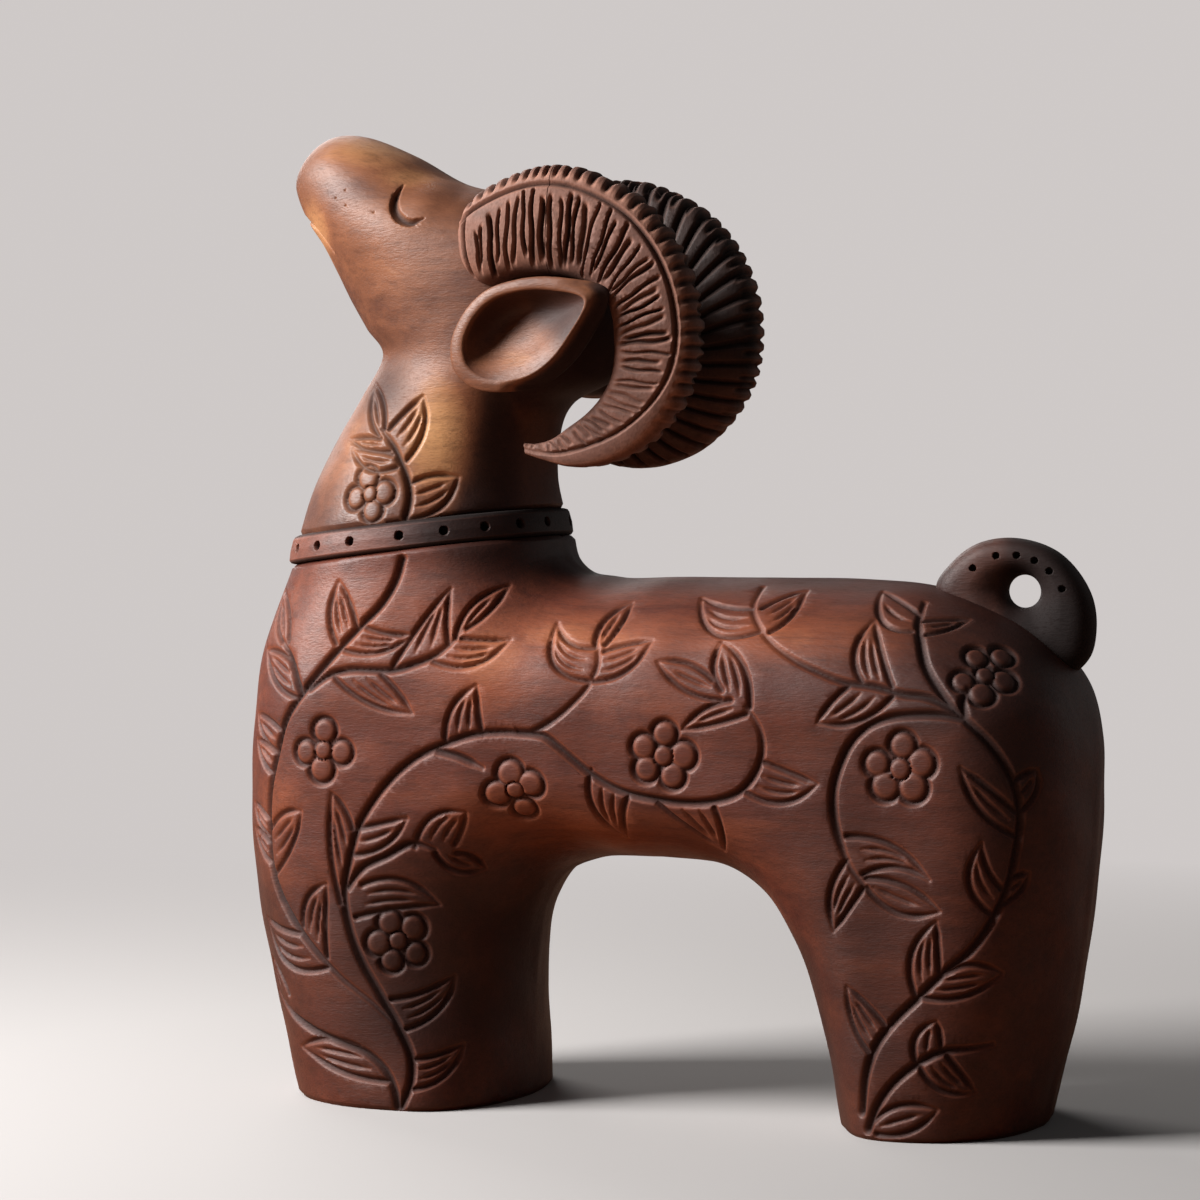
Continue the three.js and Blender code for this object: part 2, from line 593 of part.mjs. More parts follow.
function collarGeometry() {
  const low = GLUE_GAP;
  const high = COLLAR.height - GLUE_GAP;
  const { bevel, taper } = COLLAR;
  const slab = skin([
    collarRing(low, bevel),
    collarRing(low + bevel, 0),
    collarRing(high - bevel, taper),
    collarRing(high, taper + bevel),
  ]);
  const drills = Array.from({ length: 2 * COLLAR.holesPerSide }, (_, i) => {
    const side = i % 2 ? 1 : -1;
    const angle = (side * (Math.floor(i / 2) + COLLAR.firstHole) * Math.PI) / COLLAR.holesPerSide;
    const x = COLLAR.centreX + (COLLAR.halfLength - taper / 2) * squared(Math.cos(angle), COLLAR.squareness);
    const y = (COLLAR.halfWidth - taper / 2) * squared(Math.sin(angle), COLLAR.squareness);
    const mouth = new THREE.Vector3(x, y, collarLowZ(x) + COLLAR.height / 2);
    const inward = new THREE.Vector3(COLLAR.centreX - x, -y, 0).normalize();
    return drill(mouth, inward, COLLAR.holeDiameter, COLLAR.holeDepth);
  });
  return cut(slab, [...drills, socket(NECK_DOWEL), socket(opposite(NECK_DOWEL))]);
}

// Head, horns, ears and tail

function headBlank() {
  const front = stationCurve(HEAD.map((s) => point(s.front)));
  const rear = stationCurve(HEAD.map((s) => point(s.back)));
  const half = stationCurve(HEAD.map((s) => new THREE.Vector3(s.half, 0, 0)));
  return skin(Array.from({ length: HEAD_ROWS + 1 }, (_, i) => {
    const station = (i / HEAD_ROWS) * (HEAD.length - 1);
    return section(front(station), rear(station), 0, Math.max(half(station).x, 0), HEAD_STEPS, 2.05);
  }));
}

function hornPiece(fromStation, toStation, rows) {
  const outer = stationCurve(HORN.map((s) => point(s.outer)));
  const inner = stationCurve(HORN.map((s) => point(s.inner)));
  const girth = stationCurve(HORN.map((s) => new THREE.Vector3(s.offset, s.thick, 0)));
  return skin(Array.from({ length: rows + 1 }, (_, i) => {
    const station = THREE.MathUtils.lerp(fromStation, toStation, i / rows);
    const { x: offset, y: thick } = girth(station);
    return section(outer(station), inner(station), -offset, thick / 2, HORN_STEPS, HORN_SQUARENESS);
  }));
}

function earBlank() {
  const rim = outline(EAR_RIM, EAR_STEPS, true).slice(0, EAR_STEPS);
  const centre = point(EAR_CENTRE);
  const profile = new THREE.CatmullRomCurve3(EAR_SECTION.map((s) => new THREE.Vector3(s.reach, s.depth, 0)));
  const rows = 14;
  return skin(Array.from({ length: rows + 1 }, (_, i) => {
    const { x: reach, y: depth } = profile.getPoint(i / rows);
    return rim.map((p) => {
      const q = centre.clone().lerp(p, Math.max(reach, 0));
      q.y = -(EAR_RIM_OFFSET + EAR_RIM_TILT * (q.x - centre.x) - depth);
      return q;
    });
  }));
}

function tailBlank() {
  const outer = outline(TAIL_OUTLINE, TAIL_ROWS, true).slice(0, TAIL_ROWS);
  const eye = new THREE.Vector3(TAIL_EYE.x, 0, TAIL_EYE.z);
  return skin(outer.map((edge) => {
    const inner = edge.clone().sub(eye).setLength(TAIL_EYE.radius).add(eye);
    const half = TAIL_HALF_THICKNESS;
    return section(edge, inner, 0, half, TAIL_STEPS, TAIL_SQUARENESS, TAIL_FUNNEL_SQUARENESS);
  }), true);
}

function tailDrills() {
  const eye = new THREE.Vector3(TAIL_EYE.x, 0, TAIL_EYE.z);
  const rim = outline(TAIL_OUTLINE, 200, true);
  const drills = [];
  for (let i = 0; i < TAIL_HOLES.count; i += 1) {
    const step = (TAIL_HOLES.lastAngle - TAIL_HOLES.firstAngle) / (TAIL_HOLES.count - 1);
    const angle = THREE.MathUtils.degToRad(TAIL_HOLES.firstAngle + i * step);
    const ray = new THREE.Vector3(Math.cos(angle), 0, Math.sin(angle));
    const edge = rim.reduce((a, b) => {
      const closer = b.clone().sub(eye).normalize().dot(ray) > a.clone().sub(eye).normalize().dot(ray);
      return closer ? b : a;
    });
    const place = eye.clone().lerp(edge, TAIL_HOLES.reach);
    for (const side of [-1, 1]) {
      const mouth = place.clone().setY(side * TAIL_HALF_THICKNESS);
      drills.push(drill(mouth, new THREE.Vector3(0, -side, 0), TAIL_HOLES.diameter, TAIL_HOLES.depth));
    }
  }
  return drills;
}

// Assembly

const spliceShare = GLUE_GAP / 2 / 11.5;
const hornRootBlank = hornPiece(0, HORN_SPLICE_STATION - spliceShare, HORN_ROOT_ROWS);
const hornCurlBlank = hornPiece(HORN_SPLICE_STATION + spliceShare, HORN.length - 1, HORN_CURL_ROWS);
const ear = earBlank();
const tail = tailBlank();

const hornRoot = cut(hornRootBlank, [socket(HORN_DOWEL), socket(SPLICE_DOWEL)]);
const hornCurl = cut(hornCurlBlank, [socket(SPLICE_DOWEL)]);
const leftEar = cut(ear, [grown(hornRootBlank), grown(hornCurlBlank), socket(EAR_DOWEL)]);
const headSeats = [
  grown(hornRootBlank), grown(hornCurlBlank), grown(ear),
  socket(HORN_DOWEL), socket(EAR_DOWEL), socket(NECK_DOWEL),
];
const head = cut(headBlank(), [...headSeats, ...headSeats.map(mirrored)]);
const leftHalf = cut(leftBodyBlank(), [
  grown(tail), socket(NECK_DOWEL), socket(TAIL_DOWEL_FRONT), socket(TAIL_DOWEL_REAR),
  socket(SHOULDER_DOWEL), socket(RUMP_DOWEL),
  ...VINE_STEMS.map(stemCut), ...VINE_LEAVES.flatMap(leafCuts), ...VINE_FLOWERS.flatMap(flowerCuts),
]);
const tailLoop = cut(tail, [...tailDrills(), socket(TAIL_DOWEL_FRONT), socket(TAIL_DOWEL_REAR)]);

const ram = new THREE.Group();
ram.name = 'carved_ram';

function add(name, geometry, color) {
  const mesh = new THREE.Mesh(geometry, new THREE.MeshStandardMaterial({ color, roughness: 0.55 }));
  mesh.name = name;
  ram.add(mesh);
}

add('body_left_half', leftHalf, COLOURS.oiled);
add('body_right_half', mirrored(leftHalf), COLOURS.oiled);
add('collar_band', collarGeometry(), COLOURS.shaded);
add('head_and_neck', head, COLOURS.oiled);
add('left_horn_root', hornRoot, COLOURS.horn);
add('right_horn_root', mirrored(hornRoot), COLOURS.horn);
add('left_horn_curl', hornCurl, COLOURS.horn);
add('right_horn_curl', mirrored(hornCurl), COLOURS.horn);
add('left_ear', leftEar, COLOURS.oiled);
add('right_ear', mirrored(leftEar), COLOURS.oiled);
add('tail_loop', tailLoop, COLOURS.shaded);
add('left_neck_dowel', dowelGeometry(NECK_DOWEL), COLOURS.dowel);
add('right_neck_dowel', dowelGeometry(opposite(NECK_DOWEL)), COLOURS.dowel);
add('left_horn_dowel', dowelGeometry(HORN_DOWEL), COLOURS.dowel);
add('right_horn_dowel', dowelGeometry(opposite(HORN_DOWEL)), COLOURS.dowel);
add('left_horn_splice_dowel', dowelGeometry(SPLICE_DOWEL), COLOURS.dowel);
add('right_horn_splice_dowel', dowelGeometry(opposite(SPLICE_DOWEL)), COLOURS.dowel);
add('left_ear_dowel', dowelGeometry(EAR_DOWEL), COLOURS.dowel);
add('right_ear_dowel', dowelGeometry(opposite(EAR_DOWEL)), COLOURS.dowel);
add('tail_dowel_front', dowelGeometry(TAIL_DOWEL_FRONT), COLOURS.dowel);
add('tail_dowel_rear', dowelGeometry(TAIL_DOWEL_REAR), COLOURS.dowel);
add('shoulder_cross_dowel', dowelGeometry(SHOULDER_DOWEL), COLOURS.dowel);
add('rump_cross_dowel', dowelGeometry(RUMP_DOWEL), COLOURS.dowel);

export default ram;
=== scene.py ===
# %% [markdown]
# # A carved wooden ram
# This figure is an ornament of dark waxed wood, about 300 mm tall: a block-legged body, a drilled collar,
# a raised head, curled horns, cupped ears and a looped tail. The packed CAD model is the frame, and every
# piece below is a finer, carved skin over one of its solids. Shapes are worked out in millimetres, as a
# carver measures, and become metres only when a mesh is made.

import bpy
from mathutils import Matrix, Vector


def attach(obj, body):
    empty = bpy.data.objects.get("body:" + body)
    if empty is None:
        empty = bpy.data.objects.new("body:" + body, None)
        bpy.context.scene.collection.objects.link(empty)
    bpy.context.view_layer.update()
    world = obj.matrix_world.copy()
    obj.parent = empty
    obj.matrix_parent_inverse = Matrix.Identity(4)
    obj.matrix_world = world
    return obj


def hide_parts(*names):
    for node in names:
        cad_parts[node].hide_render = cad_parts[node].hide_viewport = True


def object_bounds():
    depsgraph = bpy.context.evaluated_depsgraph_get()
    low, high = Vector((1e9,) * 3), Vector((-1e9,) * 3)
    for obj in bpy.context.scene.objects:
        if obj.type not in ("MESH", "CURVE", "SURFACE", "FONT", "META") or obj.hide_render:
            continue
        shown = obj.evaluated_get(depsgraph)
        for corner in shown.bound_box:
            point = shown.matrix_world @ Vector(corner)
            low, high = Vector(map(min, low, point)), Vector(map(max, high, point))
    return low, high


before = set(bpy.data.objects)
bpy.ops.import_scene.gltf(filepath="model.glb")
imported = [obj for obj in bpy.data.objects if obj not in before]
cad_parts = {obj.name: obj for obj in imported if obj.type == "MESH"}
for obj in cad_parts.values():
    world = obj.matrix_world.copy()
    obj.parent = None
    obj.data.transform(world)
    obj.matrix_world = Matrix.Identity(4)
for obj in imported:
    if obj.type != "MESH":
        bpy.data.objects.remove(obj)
cad_low, cad_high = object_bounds()
print("CAD box in metres:", [round(x, 4) for x in (*cad_low, *cad_high)])

# %% [markdown]
# ## Camera
# The picture was taken from a little above the back of the figure with a long lens, so that upright lines
# stay upright. A plain perspective camera with a 112.5 mm lens on a 36 mm sensor gives the same view.

# %% Camera
import math

import bpy
import numpy as np
from mathutils import Matrix

scene = bpy.context.scene
CAMERA_PLACE = (0.3905, -1.0921, 0.190)
CAMERA_TURN_DEGREES = 20.7
CAMERA_DIP_DEGREES = 1.68
camera_data = bpy.data.cameras.new("camera")
camera_data.lens = 112.5
camera_data.sensor_width = 36.0
camera = bpy.data.objects.new("camera", camera_data)
camera.location = CAMERA_PLACE
camera.rotation_euler = (math.radians(90 - CAMERA_DIP_DEGREES), 0, math.radians(CAMERA_TURN_DEGREES))
scene.collection.objects.link(camera)
scene.camera = camera
print("camera at", CAMERA_PLACE)

# %% [markdown]
# ## Curves
# Two kinds of smooth curve are enough for the whole figure. One is read by its length, for outlines and
# for the paths of the gouge. The other is read by station number, for forms that swell and taper from
# station to station. Both are cubics that leave each point along the chord between its neighbours.


# %% Curves
FINE = 1500


def cubic(points, knots, at):
    """Cubic through the points at their knots, with the slope of the neighbours' chord at each point."""
    points = np.asarray(points, float)
    slopes = np.gradient(points, knots, axis=0)
    k = np.clip(np.searchsorted(knots, at, side="right") - 1, 0, len(knots) - 2)
    step = (knots[k + 1] - knots[k])[:, None]
    u = (at - knots[k])[:, None] / step
    start = (2 * u**3 - 3 * u**2 + 1) * points[k] + (u**3 - 2 * u**2 + u) * step * slopes[k]
    end = (3 * u**2 - 2 * u**3) * points[k + 1] + (u**3 - u**2) * step * slopes[k + 1]
    return start + end


def length_along(points):
    """Running length at each point of a polyline, from 0."""
    return np.concatenate([[0], np.cumsum(np.linalg.norm(np.diff(points, axis=0), axis=1))])


def evenly(points, count):
    """The polyline's points spaced evenly by length."""
    run = length_along(points)
    want = np.linspace(0, run[-1], count)
    return np.stack([np.interp(want, run, column) for column in points.T], 1)


def at_share(points, share):
    """The polyline's points at shares of its length."""
    run = length_along(points)
    return np.stack([np.interp(share * run[-1], run, column) for column in points.T], 1)


def outline(points, count, closed=False):
    """A smooth curve through the points, as count points spaced evenly by length. A closed one doesn't
    repeat its first point."""
    points = np.asarray(points, float)
    if closed:
        lap = len(points)
        points = np.concatenate([points[-3:], points, points[:4]])
        knots = length_along(points)
        dense = cubic(points, knots, np.linspace(knots[3], knots[3 + lap], FINE))
        return evenly(dense, count + 1)[:-1]
    knots = length_along(points)
    return evenly(cubic(points, knots, np.linspace(0, knots[-1], FINE)), count)


def by_station(rows, at):
    """Values between stations 0, 1, 2 and so on, read off a smooth curve at the given station numbers."""
    return cubic(rows, np.arange(len(rows), dtype=float), np.asarray(at, float))


def smoothstep(low, high, x):
    """0 below low, 1 above high, and a smooth rise between."""
    t = np.clip((x - low) / (high - low), 0, 1)
    return t * t * (3 - 2 * t)


def squared(wave, squareness):
    """Cosine or sine of a superellipse, whose corners fill out as squareness grows above 2."""
    return np.sign(wave) * np.abs(wave) ** (2 / squareness)


print("a straight run of 4 points:", outline([(0, 0), (30, 0)], 4)[:, 0])

# %% [markdown]
# ## From grids to meshes
# Each piece is a grid of points: rows along it and steps around it. The grid becomes quads, its two ends
# are closed with fans, and a UV map named for the bake lays the grid out flat, so that dense pieces need
# no unwrapping. What the gouge did at each point is kept beside the mesh as attributes, which the wood's
# finish reads.


# %% From grids to meshes
MM = 0.001
CREASE_DEGREES = 62
ROWS_TOP, FAN_STRIPS, FAN_HEIGHT = 0.9, (0.92, 0.96), 0.03


def normals_of(grid, wrap, away):
    """Unit normals of a grid of points: the cross product of its two directions of travel, all turned over
    if on the whole they point against the directions away."""
    across = np.gradient(grid, axis=0)
    if wrap:
        around = (np.roll(grid, -1, axis=1) - np.roll(grid, 1, axis=1)) / 2
    else:
        around = np.gradient(grid, axis=1)
    normal = np.cross(across, around)
    normal /= np.maximum(np.linalg.norm(normal, axis=2, keepdims=True), 1e-9)
    return normal if (normal * away).sum() > 0 else -normal


def face_outward(piece):
    """Turns all the faces over if the volume that they enclose comes out negative."""
    mesh = piece.data
    mesh.calc_loop_triangles()
    corner = np.zeros(len(mesh.loop_triangles) * 3, np.int32)
    mesh.loop_triangles.foreach_get("vertices", corner)
    place = np.zeros(len(mesh.vertices) * 3, np.float32)
    mesh.vertices.foreach_get("co", place)
    a, b, c = np.moveaxis(place.reshape(-1, 3)[corner.reshape(-1, 3)].astype(float), 1, 0)
    if np.einsum("ij,ij->", a, np.cross(b, c)) < 0:
        mesh.flip_normals()


def make_piece(name, points, faces, corner_uv, attributes):
    """A smooth mesh object from millimetre points, faces, one UV per face corner and values per point.
    Points past the last value, such as the hubs of end fans, get 0."""
    mesh = bpy.data.meshes.new(name)
    mesh.from_pydata((points * MM).tolist(), [], faces)
    mesh.uv_layers.new(name="OFBake").data.foreach_set("uv", corner_uv.astype(np.float32).ravel())
    for label, values in attributes.items():
        padded = np.zeros(len(points), np.float32)
        padded[:values.size] = values.ravel()
        mesh.attributes.new(label, "FLOAT", "POINT").data.foreach_set("value", padded)
    mesh.polygons.foreach_set("use_smooth", np.ones(len(mesh.polygons), bool))
    mesh.set_sharp_from_angle(angle=math.radians(CREASE_DEGREES))
    piece = bpy.data.objects.new(name, mesh)
    scene.collection.objects.link(piece)
    face_outward(piece)
    return piece


def loft_piece(name, grid, attributes, loop=False):
    """A skin over a grid whose steps run once round. Its ends are closed by fans, or it joins up as a loop.
    UV: rows run up the map and steps across it, with the end fans in two strips above them."""
    rows, steps = grid.shape[:2]
    quads_up = rows if loop else rows - 1
    i, j = np.meshgrid(np.arange(quads_up), np.arange(steps), indexing="ij")
    below, above, right = i * steps, (i + 1) % rows * steps, (j + 1) % steps
    quads = np.stack([below + j, below + right, above + right, above + j], -1).reshape(-1, 4)
    u0, u1 = j / steps, (j + 1) / steps
    v0, v1 = ROWS_TOP * i / quads_up, ROWS_TOP * (i + 1) / quads_up
    uv = [np.stack([np.stack([u0, u1, u1, u0], -1), np.stack([v0, v0, v1, v1], -1)], -1).reshape(-1, 2)]
    points, faces = grid.reshape(-1, 3), quads.tolist()
    if not loop:
        ring, turn = np.arange(steps), np.roll(np.arange(steps), -1)
        for first, strip, order in zip((0, (rows - 1) * steps), FAN_STRIPS, ((1, 0), (0, 1))):
            hub = np.full(steps, len(points))
            points = np.vstack([points, grid.reshape(-1, 3)[first:first + steps].mean(0)])
            ends = np.stack([ring, turn], 1)[:, order] + first
            faces += np.column_stack([ends, hub]).tolist()
            flat = np.stack([ring, ring + 1], 1)[:, order] / steps
            fan_u = np.column_stack([flat, flat.mean(1)])
            fan_v = np.broadcast_to([strip, strip, strip + FAN_HEIGHT], fan_u.shape)
            uv.append(np.stack([fan_u, fan_v], -1).reshape(-1, 2))
    return make_piece(name, points, faces, np.vstack(uv), attributes)


print("creases are kept above", CREASE_DEGREES, "degrees")

# %% [markdown]
# ## Thinning and mirroring
# A carved grid is as dense on plain wood as in the finest cut. A Decimate modifier collapses its flattest
# places first, so the cuts keep their triangles. It is applied at once, because the right-hand pieces are
# mirrored copies of the finished left ones.


# %% Thinning and mirroring
def triangle_count(mesh):
    """Triangles in a mesh: each face has two fewer than its corners."""
    return len(mesh.loops) - 2 * len(mesh.polygons)


def thin_out(piece, triangles):
    """Collapses edges where the surface is flattest until about so many triangles are left."""
    mesh = piece.data
    now = triangle_count(mesh)
    if now > triangles:
        modifier = piece.modifiers.new("thin", "DECIMATE")
        modifier.ratio = triangles / now
        thin = bpy.data.meshes.new_from_object(piece.evaluated_get(bpy.context.evaluated_depsgraph_get()))
        piece.modifiers.clear()
        piece.data = thin
        bpy.data.meshes.remove(mesh)
        thin.name = piece.name
        thin.set_sharp_from_angle(angle=math.radians(CREASE_DEGREES))
        print(piece.name, "thinned from", now, "to", triangle_count(thin), "triangles")


def mirror_piece(piece, name):
    """The same piece on the other side of the centre plane, with its faces turned outward again."""
    mesh = piece.data.copy()
    mesh.name = name
    mesh.transform(Matrix.Diagonal((1, -1, 1, 1)))
    mesh.flip_normals()
    other = bpy.data.objects.new(name, mesh)
    scene.collection.objects.link(other)
    return other


TRIANGLE_LIMIT = 200_000
print("every piece stays under", TRIANGLE_LIMIT, "triangles")

# %% [markdown]
# ## Gouge strokes
# The ornament is cut with a V gouge. A stroke is a path on the surface with a half width and a depth
# along it, and the cut at a point is as deep as the deepest stroke over it. Long strokes are chopped into
# short runs, so that each one is tested only against the points near it.


# %% Gouge strokes
RUN = 8
DEEPEST = 1.6
SHOULDER = 1.15
BLUNT_TIP = 0.15


def stroke(path, half_width, depth, start=1.0, end=1.0):
    """A gouge stroke: points along the path, a half width and a depth at each. Over about its first and last
    quarter it comes out of the wood toward the given shares of both."""
    run = np.linspace(0, 1, len(path))
    entry = start + (1 - start) * smoothstep(0, 0.25, run)
    leave = end + (1 - end) * smoothstep(1, 0.7, run)
    ease = np.minimum(entry, leave)
    return path, half_width * (0.35 + 0.65 * ease), depth * ease


def runs_of(strokes):
    """Every stroke cut into runs of a few segments."""
    for path, half, deep in strokes:
        for k in range(0, len(path) - 1, RUN):
            yield path[k:k + RUN + 1], half[k:k + RUN + 1], deep[k:k + RUN + 1]


def close_to(points, few, reach):
    """Numbers of the points inside the box round a few others, widened by a reach."""
    inside = (points > few.min(0) - reach) & (points < few.max(0) + reach)
    return np.flatnonzero(np.all(inside, axis=1))


def gouge(points, strokes, shoulder=SHOULDER):
    """Depth of the cut at each point: a V with its shoulders rubbed round, the full depth on a stroke's line
    times a power of the share of its half width that is left to the edge."""
    depth = np.zeros(len(points))
    for path, half, deep in runs_of(strokes):
        near = close_to(points, path, half.max())
        start, step = path[:-1], np.diff(path, axis=0)
        offset = points[near, None] - start
        along = np.clip((offset * step).sum(2) / np.maximum((step**2).sum(1), 1e-9), 0, 1)
        gap = np.linalg.norm(offset - along[..., None] * step, axis=2)
        width = half[:-1] + along * np.diff(half)
        left = np.clip(1 - np.hypot(gap, BLUNT_TIP) / width, 0, 1)
        cut = (deep[:-1] + along * np.diff(deep)) * left**shoulder
        depth[near] = np.maximum(depth[near], cut.max(1, initial=0))
    return depth


print("strokes are cut in runs of", RUN, "segments")

# %% [markdown]
# ## Leaves and flowers
# A leaf stands on its stem with two feet and meets in a point. Its two outlines are arcs that bulge by a
# share of their length, and one or two veins run between them. A flower is a ring of round petals about a
# smaller middle, each petal a low dome whose top is flush with the wood, sunk along its edge.


# %% Leaves and flowers
rng = np.random.default_rng(12)
STEM, STEM_STEP = {"half_width": 1.95, "depth": 1.8}, 1.2
LEAF_EDGE = {"half_width": 1.5, "depth": 1.45}
LEAF_VEIN = {"half_width": 1.15, "depth": 1.05}
WIDE_LEAF = 8.5
ONE_VEIN, TWO_VEINS, VEIN_SPAN = (0.5,), (0.36, 0.68), (0.1, 0.76)
PETAL_SHARES, MIDDLE_SHARE = {4: 0.41, 5: 0.385}, 0.31
PETAL_DEPTH, APRON = 1.4, 1.7


def arc(start, tip, other, bulge, t):
    """Quadratic curve from start to tip that swells away from the other foot by a share of its length."""
    chord = tip - start
    square = np.array([-chord[1], chord[0]])
    if square @ (start - other) < 0:
        square = -square
    middle = (start + tip) / 2 + 2 * bulge * square
    t = t[:, None]
    return (1 - t) ** 2 * start + 2 * t * (1 - t) * middle + t**2 * tip


def leaf_strokes(leaf, lift):
    """Edge and vein strokes of one leaf, given as its two feet, its tip and the bulge of each edge. A vein
    is a blend of the two edges."""
    foot, other, tip = (np.array(p, float) for p in leaf[:3])
    t = np.linspace(0, 1, 17)
    edges = arc(foot, tip, other, leaf[3], t), arc(other, tip, foot, leaf[4], t)
    cuts = [stroke(lift(edge), **LEAF_EDGE, end=0.45) for edge in edges]
    shares = TWO_VEINS if np.linalg.norm(foot - other) > WIDE_LEAF else ONE_VEIN
    vein = np.linspace(*VEIN_SPAN, 13)
    sides = arc(foot, tip, other, leaf[3], vein), arc(other, tip, foot, leaf[4], vein)
    for share in shares:
        line = (1 - share) * sides[0] + share * sides[1]
        cuts.append(stroke(lift(line), **LEAF_VEIN, start=0.4, end=0.1))
    return cuts


def stem_stroke(points, lift):
    """A stem: one long stroke that thins toward its growing end."""
    run = length_along(np.array(points, float))[-1]
    return stroke(lift(outline(points, int(run / STEM_STEP) + 4)), **STEM, end=0.5)


def flower_discs(flower, lift):
    """Petal and middle discs of one flower: centre points and radii, with a carver's small unevenness."""
    x, z, petals, reach, turn = flower
    angle = np.radians(turn + 360 / petals * np.arange(petals) + rng.uniform(-7, 7, petals))
    radius = reach * PETAL_SHARES[petals] * rng.uniform(0.9, 1.1, petals)
    middle = np.stack([x + (reach - radius) * np.cos(angle), z + (reach - radius) * np.sin(angle)], 1)
    return lift(np.vstack([middle, [(x, z)]])), np.append(radius, MIDDLE_SHARE * reach)


def sink_flowers(points, flowers, depth=PETAL_DEPTH):
    """Cut depth round the flowers: inside a disc, a flat dome that falls to full depth at its edge with the
    fifth power of the way there. The middle lies over the petals. Outside, the ground climbs back to the
    surface over the apron."""
    sunk = np.zeros(len(points))
    for centres, radii in flowers:
        near = close_to(points, centres, radii.max() + APRON)
        share = np.linalg.norm(points[near, None] - centres, axis=2) / radii
        petal, middle = share[:, :-1].min(1), share[:, -1]
        nearest = ((share - 1) * radii).min(1)
        inside = np.where(middle < 1, middle, petal)
        dome = depth * inside**5
        ground = depth * np.clip(1 - nearest / APRON, 0, 1) ** 1.2
        sunk[near] = np.maximum(sunk[near], np.where(nearest < 0, dome, ground))
    return sunk


print("leaf edges are", 2 * LEAF_EDGE["half_width"], "mm wide, stems", 2 * STEM["half_width"], "mm")

# %% [markdown]
# ## Body blank
# The body is sawn from two planks to one outline: chest, collar seat, back and rump on the outside, and
# the arch under the belly on the inside. Each flank is a flat face rounded over toward all three edges. A
# fan of rows from the arch to the outer outline covers it, with steps packed toward both edges, where the
# surface turns fastest.

# %% Body blank
FLANK_HALF_WIDTH = 46
NECK_HALF_WIDTH = 39
CHEST_ROUND, BACK_ROUND, ARCH_ROUND, LEG_ROUND = 45, 40, 28, 24
COLLAR_SLOPE, COLLAR_X, COLLAR_Z, COLLAR_HEIGHT = 0.112, -79.2, 170.9, 9
CHEST_LINE = [(-120, 0), (-127, 28), (-132.6, 54), (-136, 90), (-135.6, 117), (-131.8, 143), (-123.2, 166)]
BACK_LINE = [
    (-34, 175.9), (-32, 169.6), (-27, 165), (-18, 163.2), (5, 163.2), (35, 163.2), (65, 163), (87, 161),
    (106, 154.5), (123, 144.3), (133, 131), (136.2, 116), (136.4, 97), (135.3, 80), (133.3, 61), (129.3, 36),
    (121, 0),
]
ARCH_LINE = [
    (-44, 0), (-43.8, 25), (-42.5, 46), (-39.5, 61), (-33, 70.5), (-22, 75.3), (-2, 76.5), (16, 76),
    (29, 72.8), (38.5, 65.8), (46, 54.5), (52, 38), (57, 18), (60.5, 0),
]
chest, back, arch = outline(CHEST_LINE, 110), outline(BACK_LINE, 210), outline(ARCH_LINE, 150)
print("outline of", len(chest), "chest,", len(back), "back and", len(arch), "arch points")


# %% Width of the body
CARRY_ON = 12


def collar_low(x):
    """Height of the tilted collar seat at x."""
    return COLLAR_Z + COLLAR_SLOPE * (x - COLLAR_X)


def distance_to(line, points):
    """Shortest distance from points to a polyline that is carried straight on at both ends."""
    first, last = 2 * line[0] - line[1], 2 * line[-1] - line[-2]
    line = np.vstack([line[0] + (first - line[0]) * CARRY_ON, line, line[-1] + (last - line[-1]) * CARRY_ON])
    best = np.full(len(points), np.inf)
    for start, end in zip(line[:-1], line[1:]):
        step = end - start
        offset = points - start
        along = np.clip(offset @ step / (step @ step), 0, 1)
        gap = offset - along[:, None] * step
        best = np.minimum(best, gap[:, 0] ** 2 + gap[:, 1] ** 2)
    return np.sqrt(best)


def round_over(distance, reach):
    """0 at an edge and 1 from the given distance on, leaving the edge square to it."""
    return np.sqrt(1 - (1 - np.minimum(distance / reach, 1)) ** 2.5)


def arch_reach(points):
    """How far the round at the arch reaches: farther inside the front leg, which is nearly a column."""
    x, z = points.T
    return ARCH_ROUND + LEG_ROUND * smoothstep(0, 45, z) * smoothstep(115, 75, z) * smoothstep(0, -45, x)


def flank(points):
    """Half width of the body at points in x and z: the plank, narrower in the neck, times the round of each
    of its three edges."""
    width = FLANK_HALF_WIDTH - (FLANK_HALF_WIDTH - NECK_HALF_WIDTH) * smoothstep(120, 180, points[:, 1])
    rounds = (chest, CHEST_ROUND), (back, BACK_ROUND), (arch, arch_reach(points))
    return width * np.prod([round_over(distance_to(line, points), reach) for line, reach in rounds], axis=0)


def flank_lift(path):
    """Points in x and z put on the left flank."""
    path = np.atleast_2d(np.asarray(path, float))
    return np.stack([path[:, 0], -flank(path), path[:, 1]], 1)


print("middle of the flank is", round(float(flank(np.array([[0, 120.0]]))[0]), 1), "mm from the glue face")

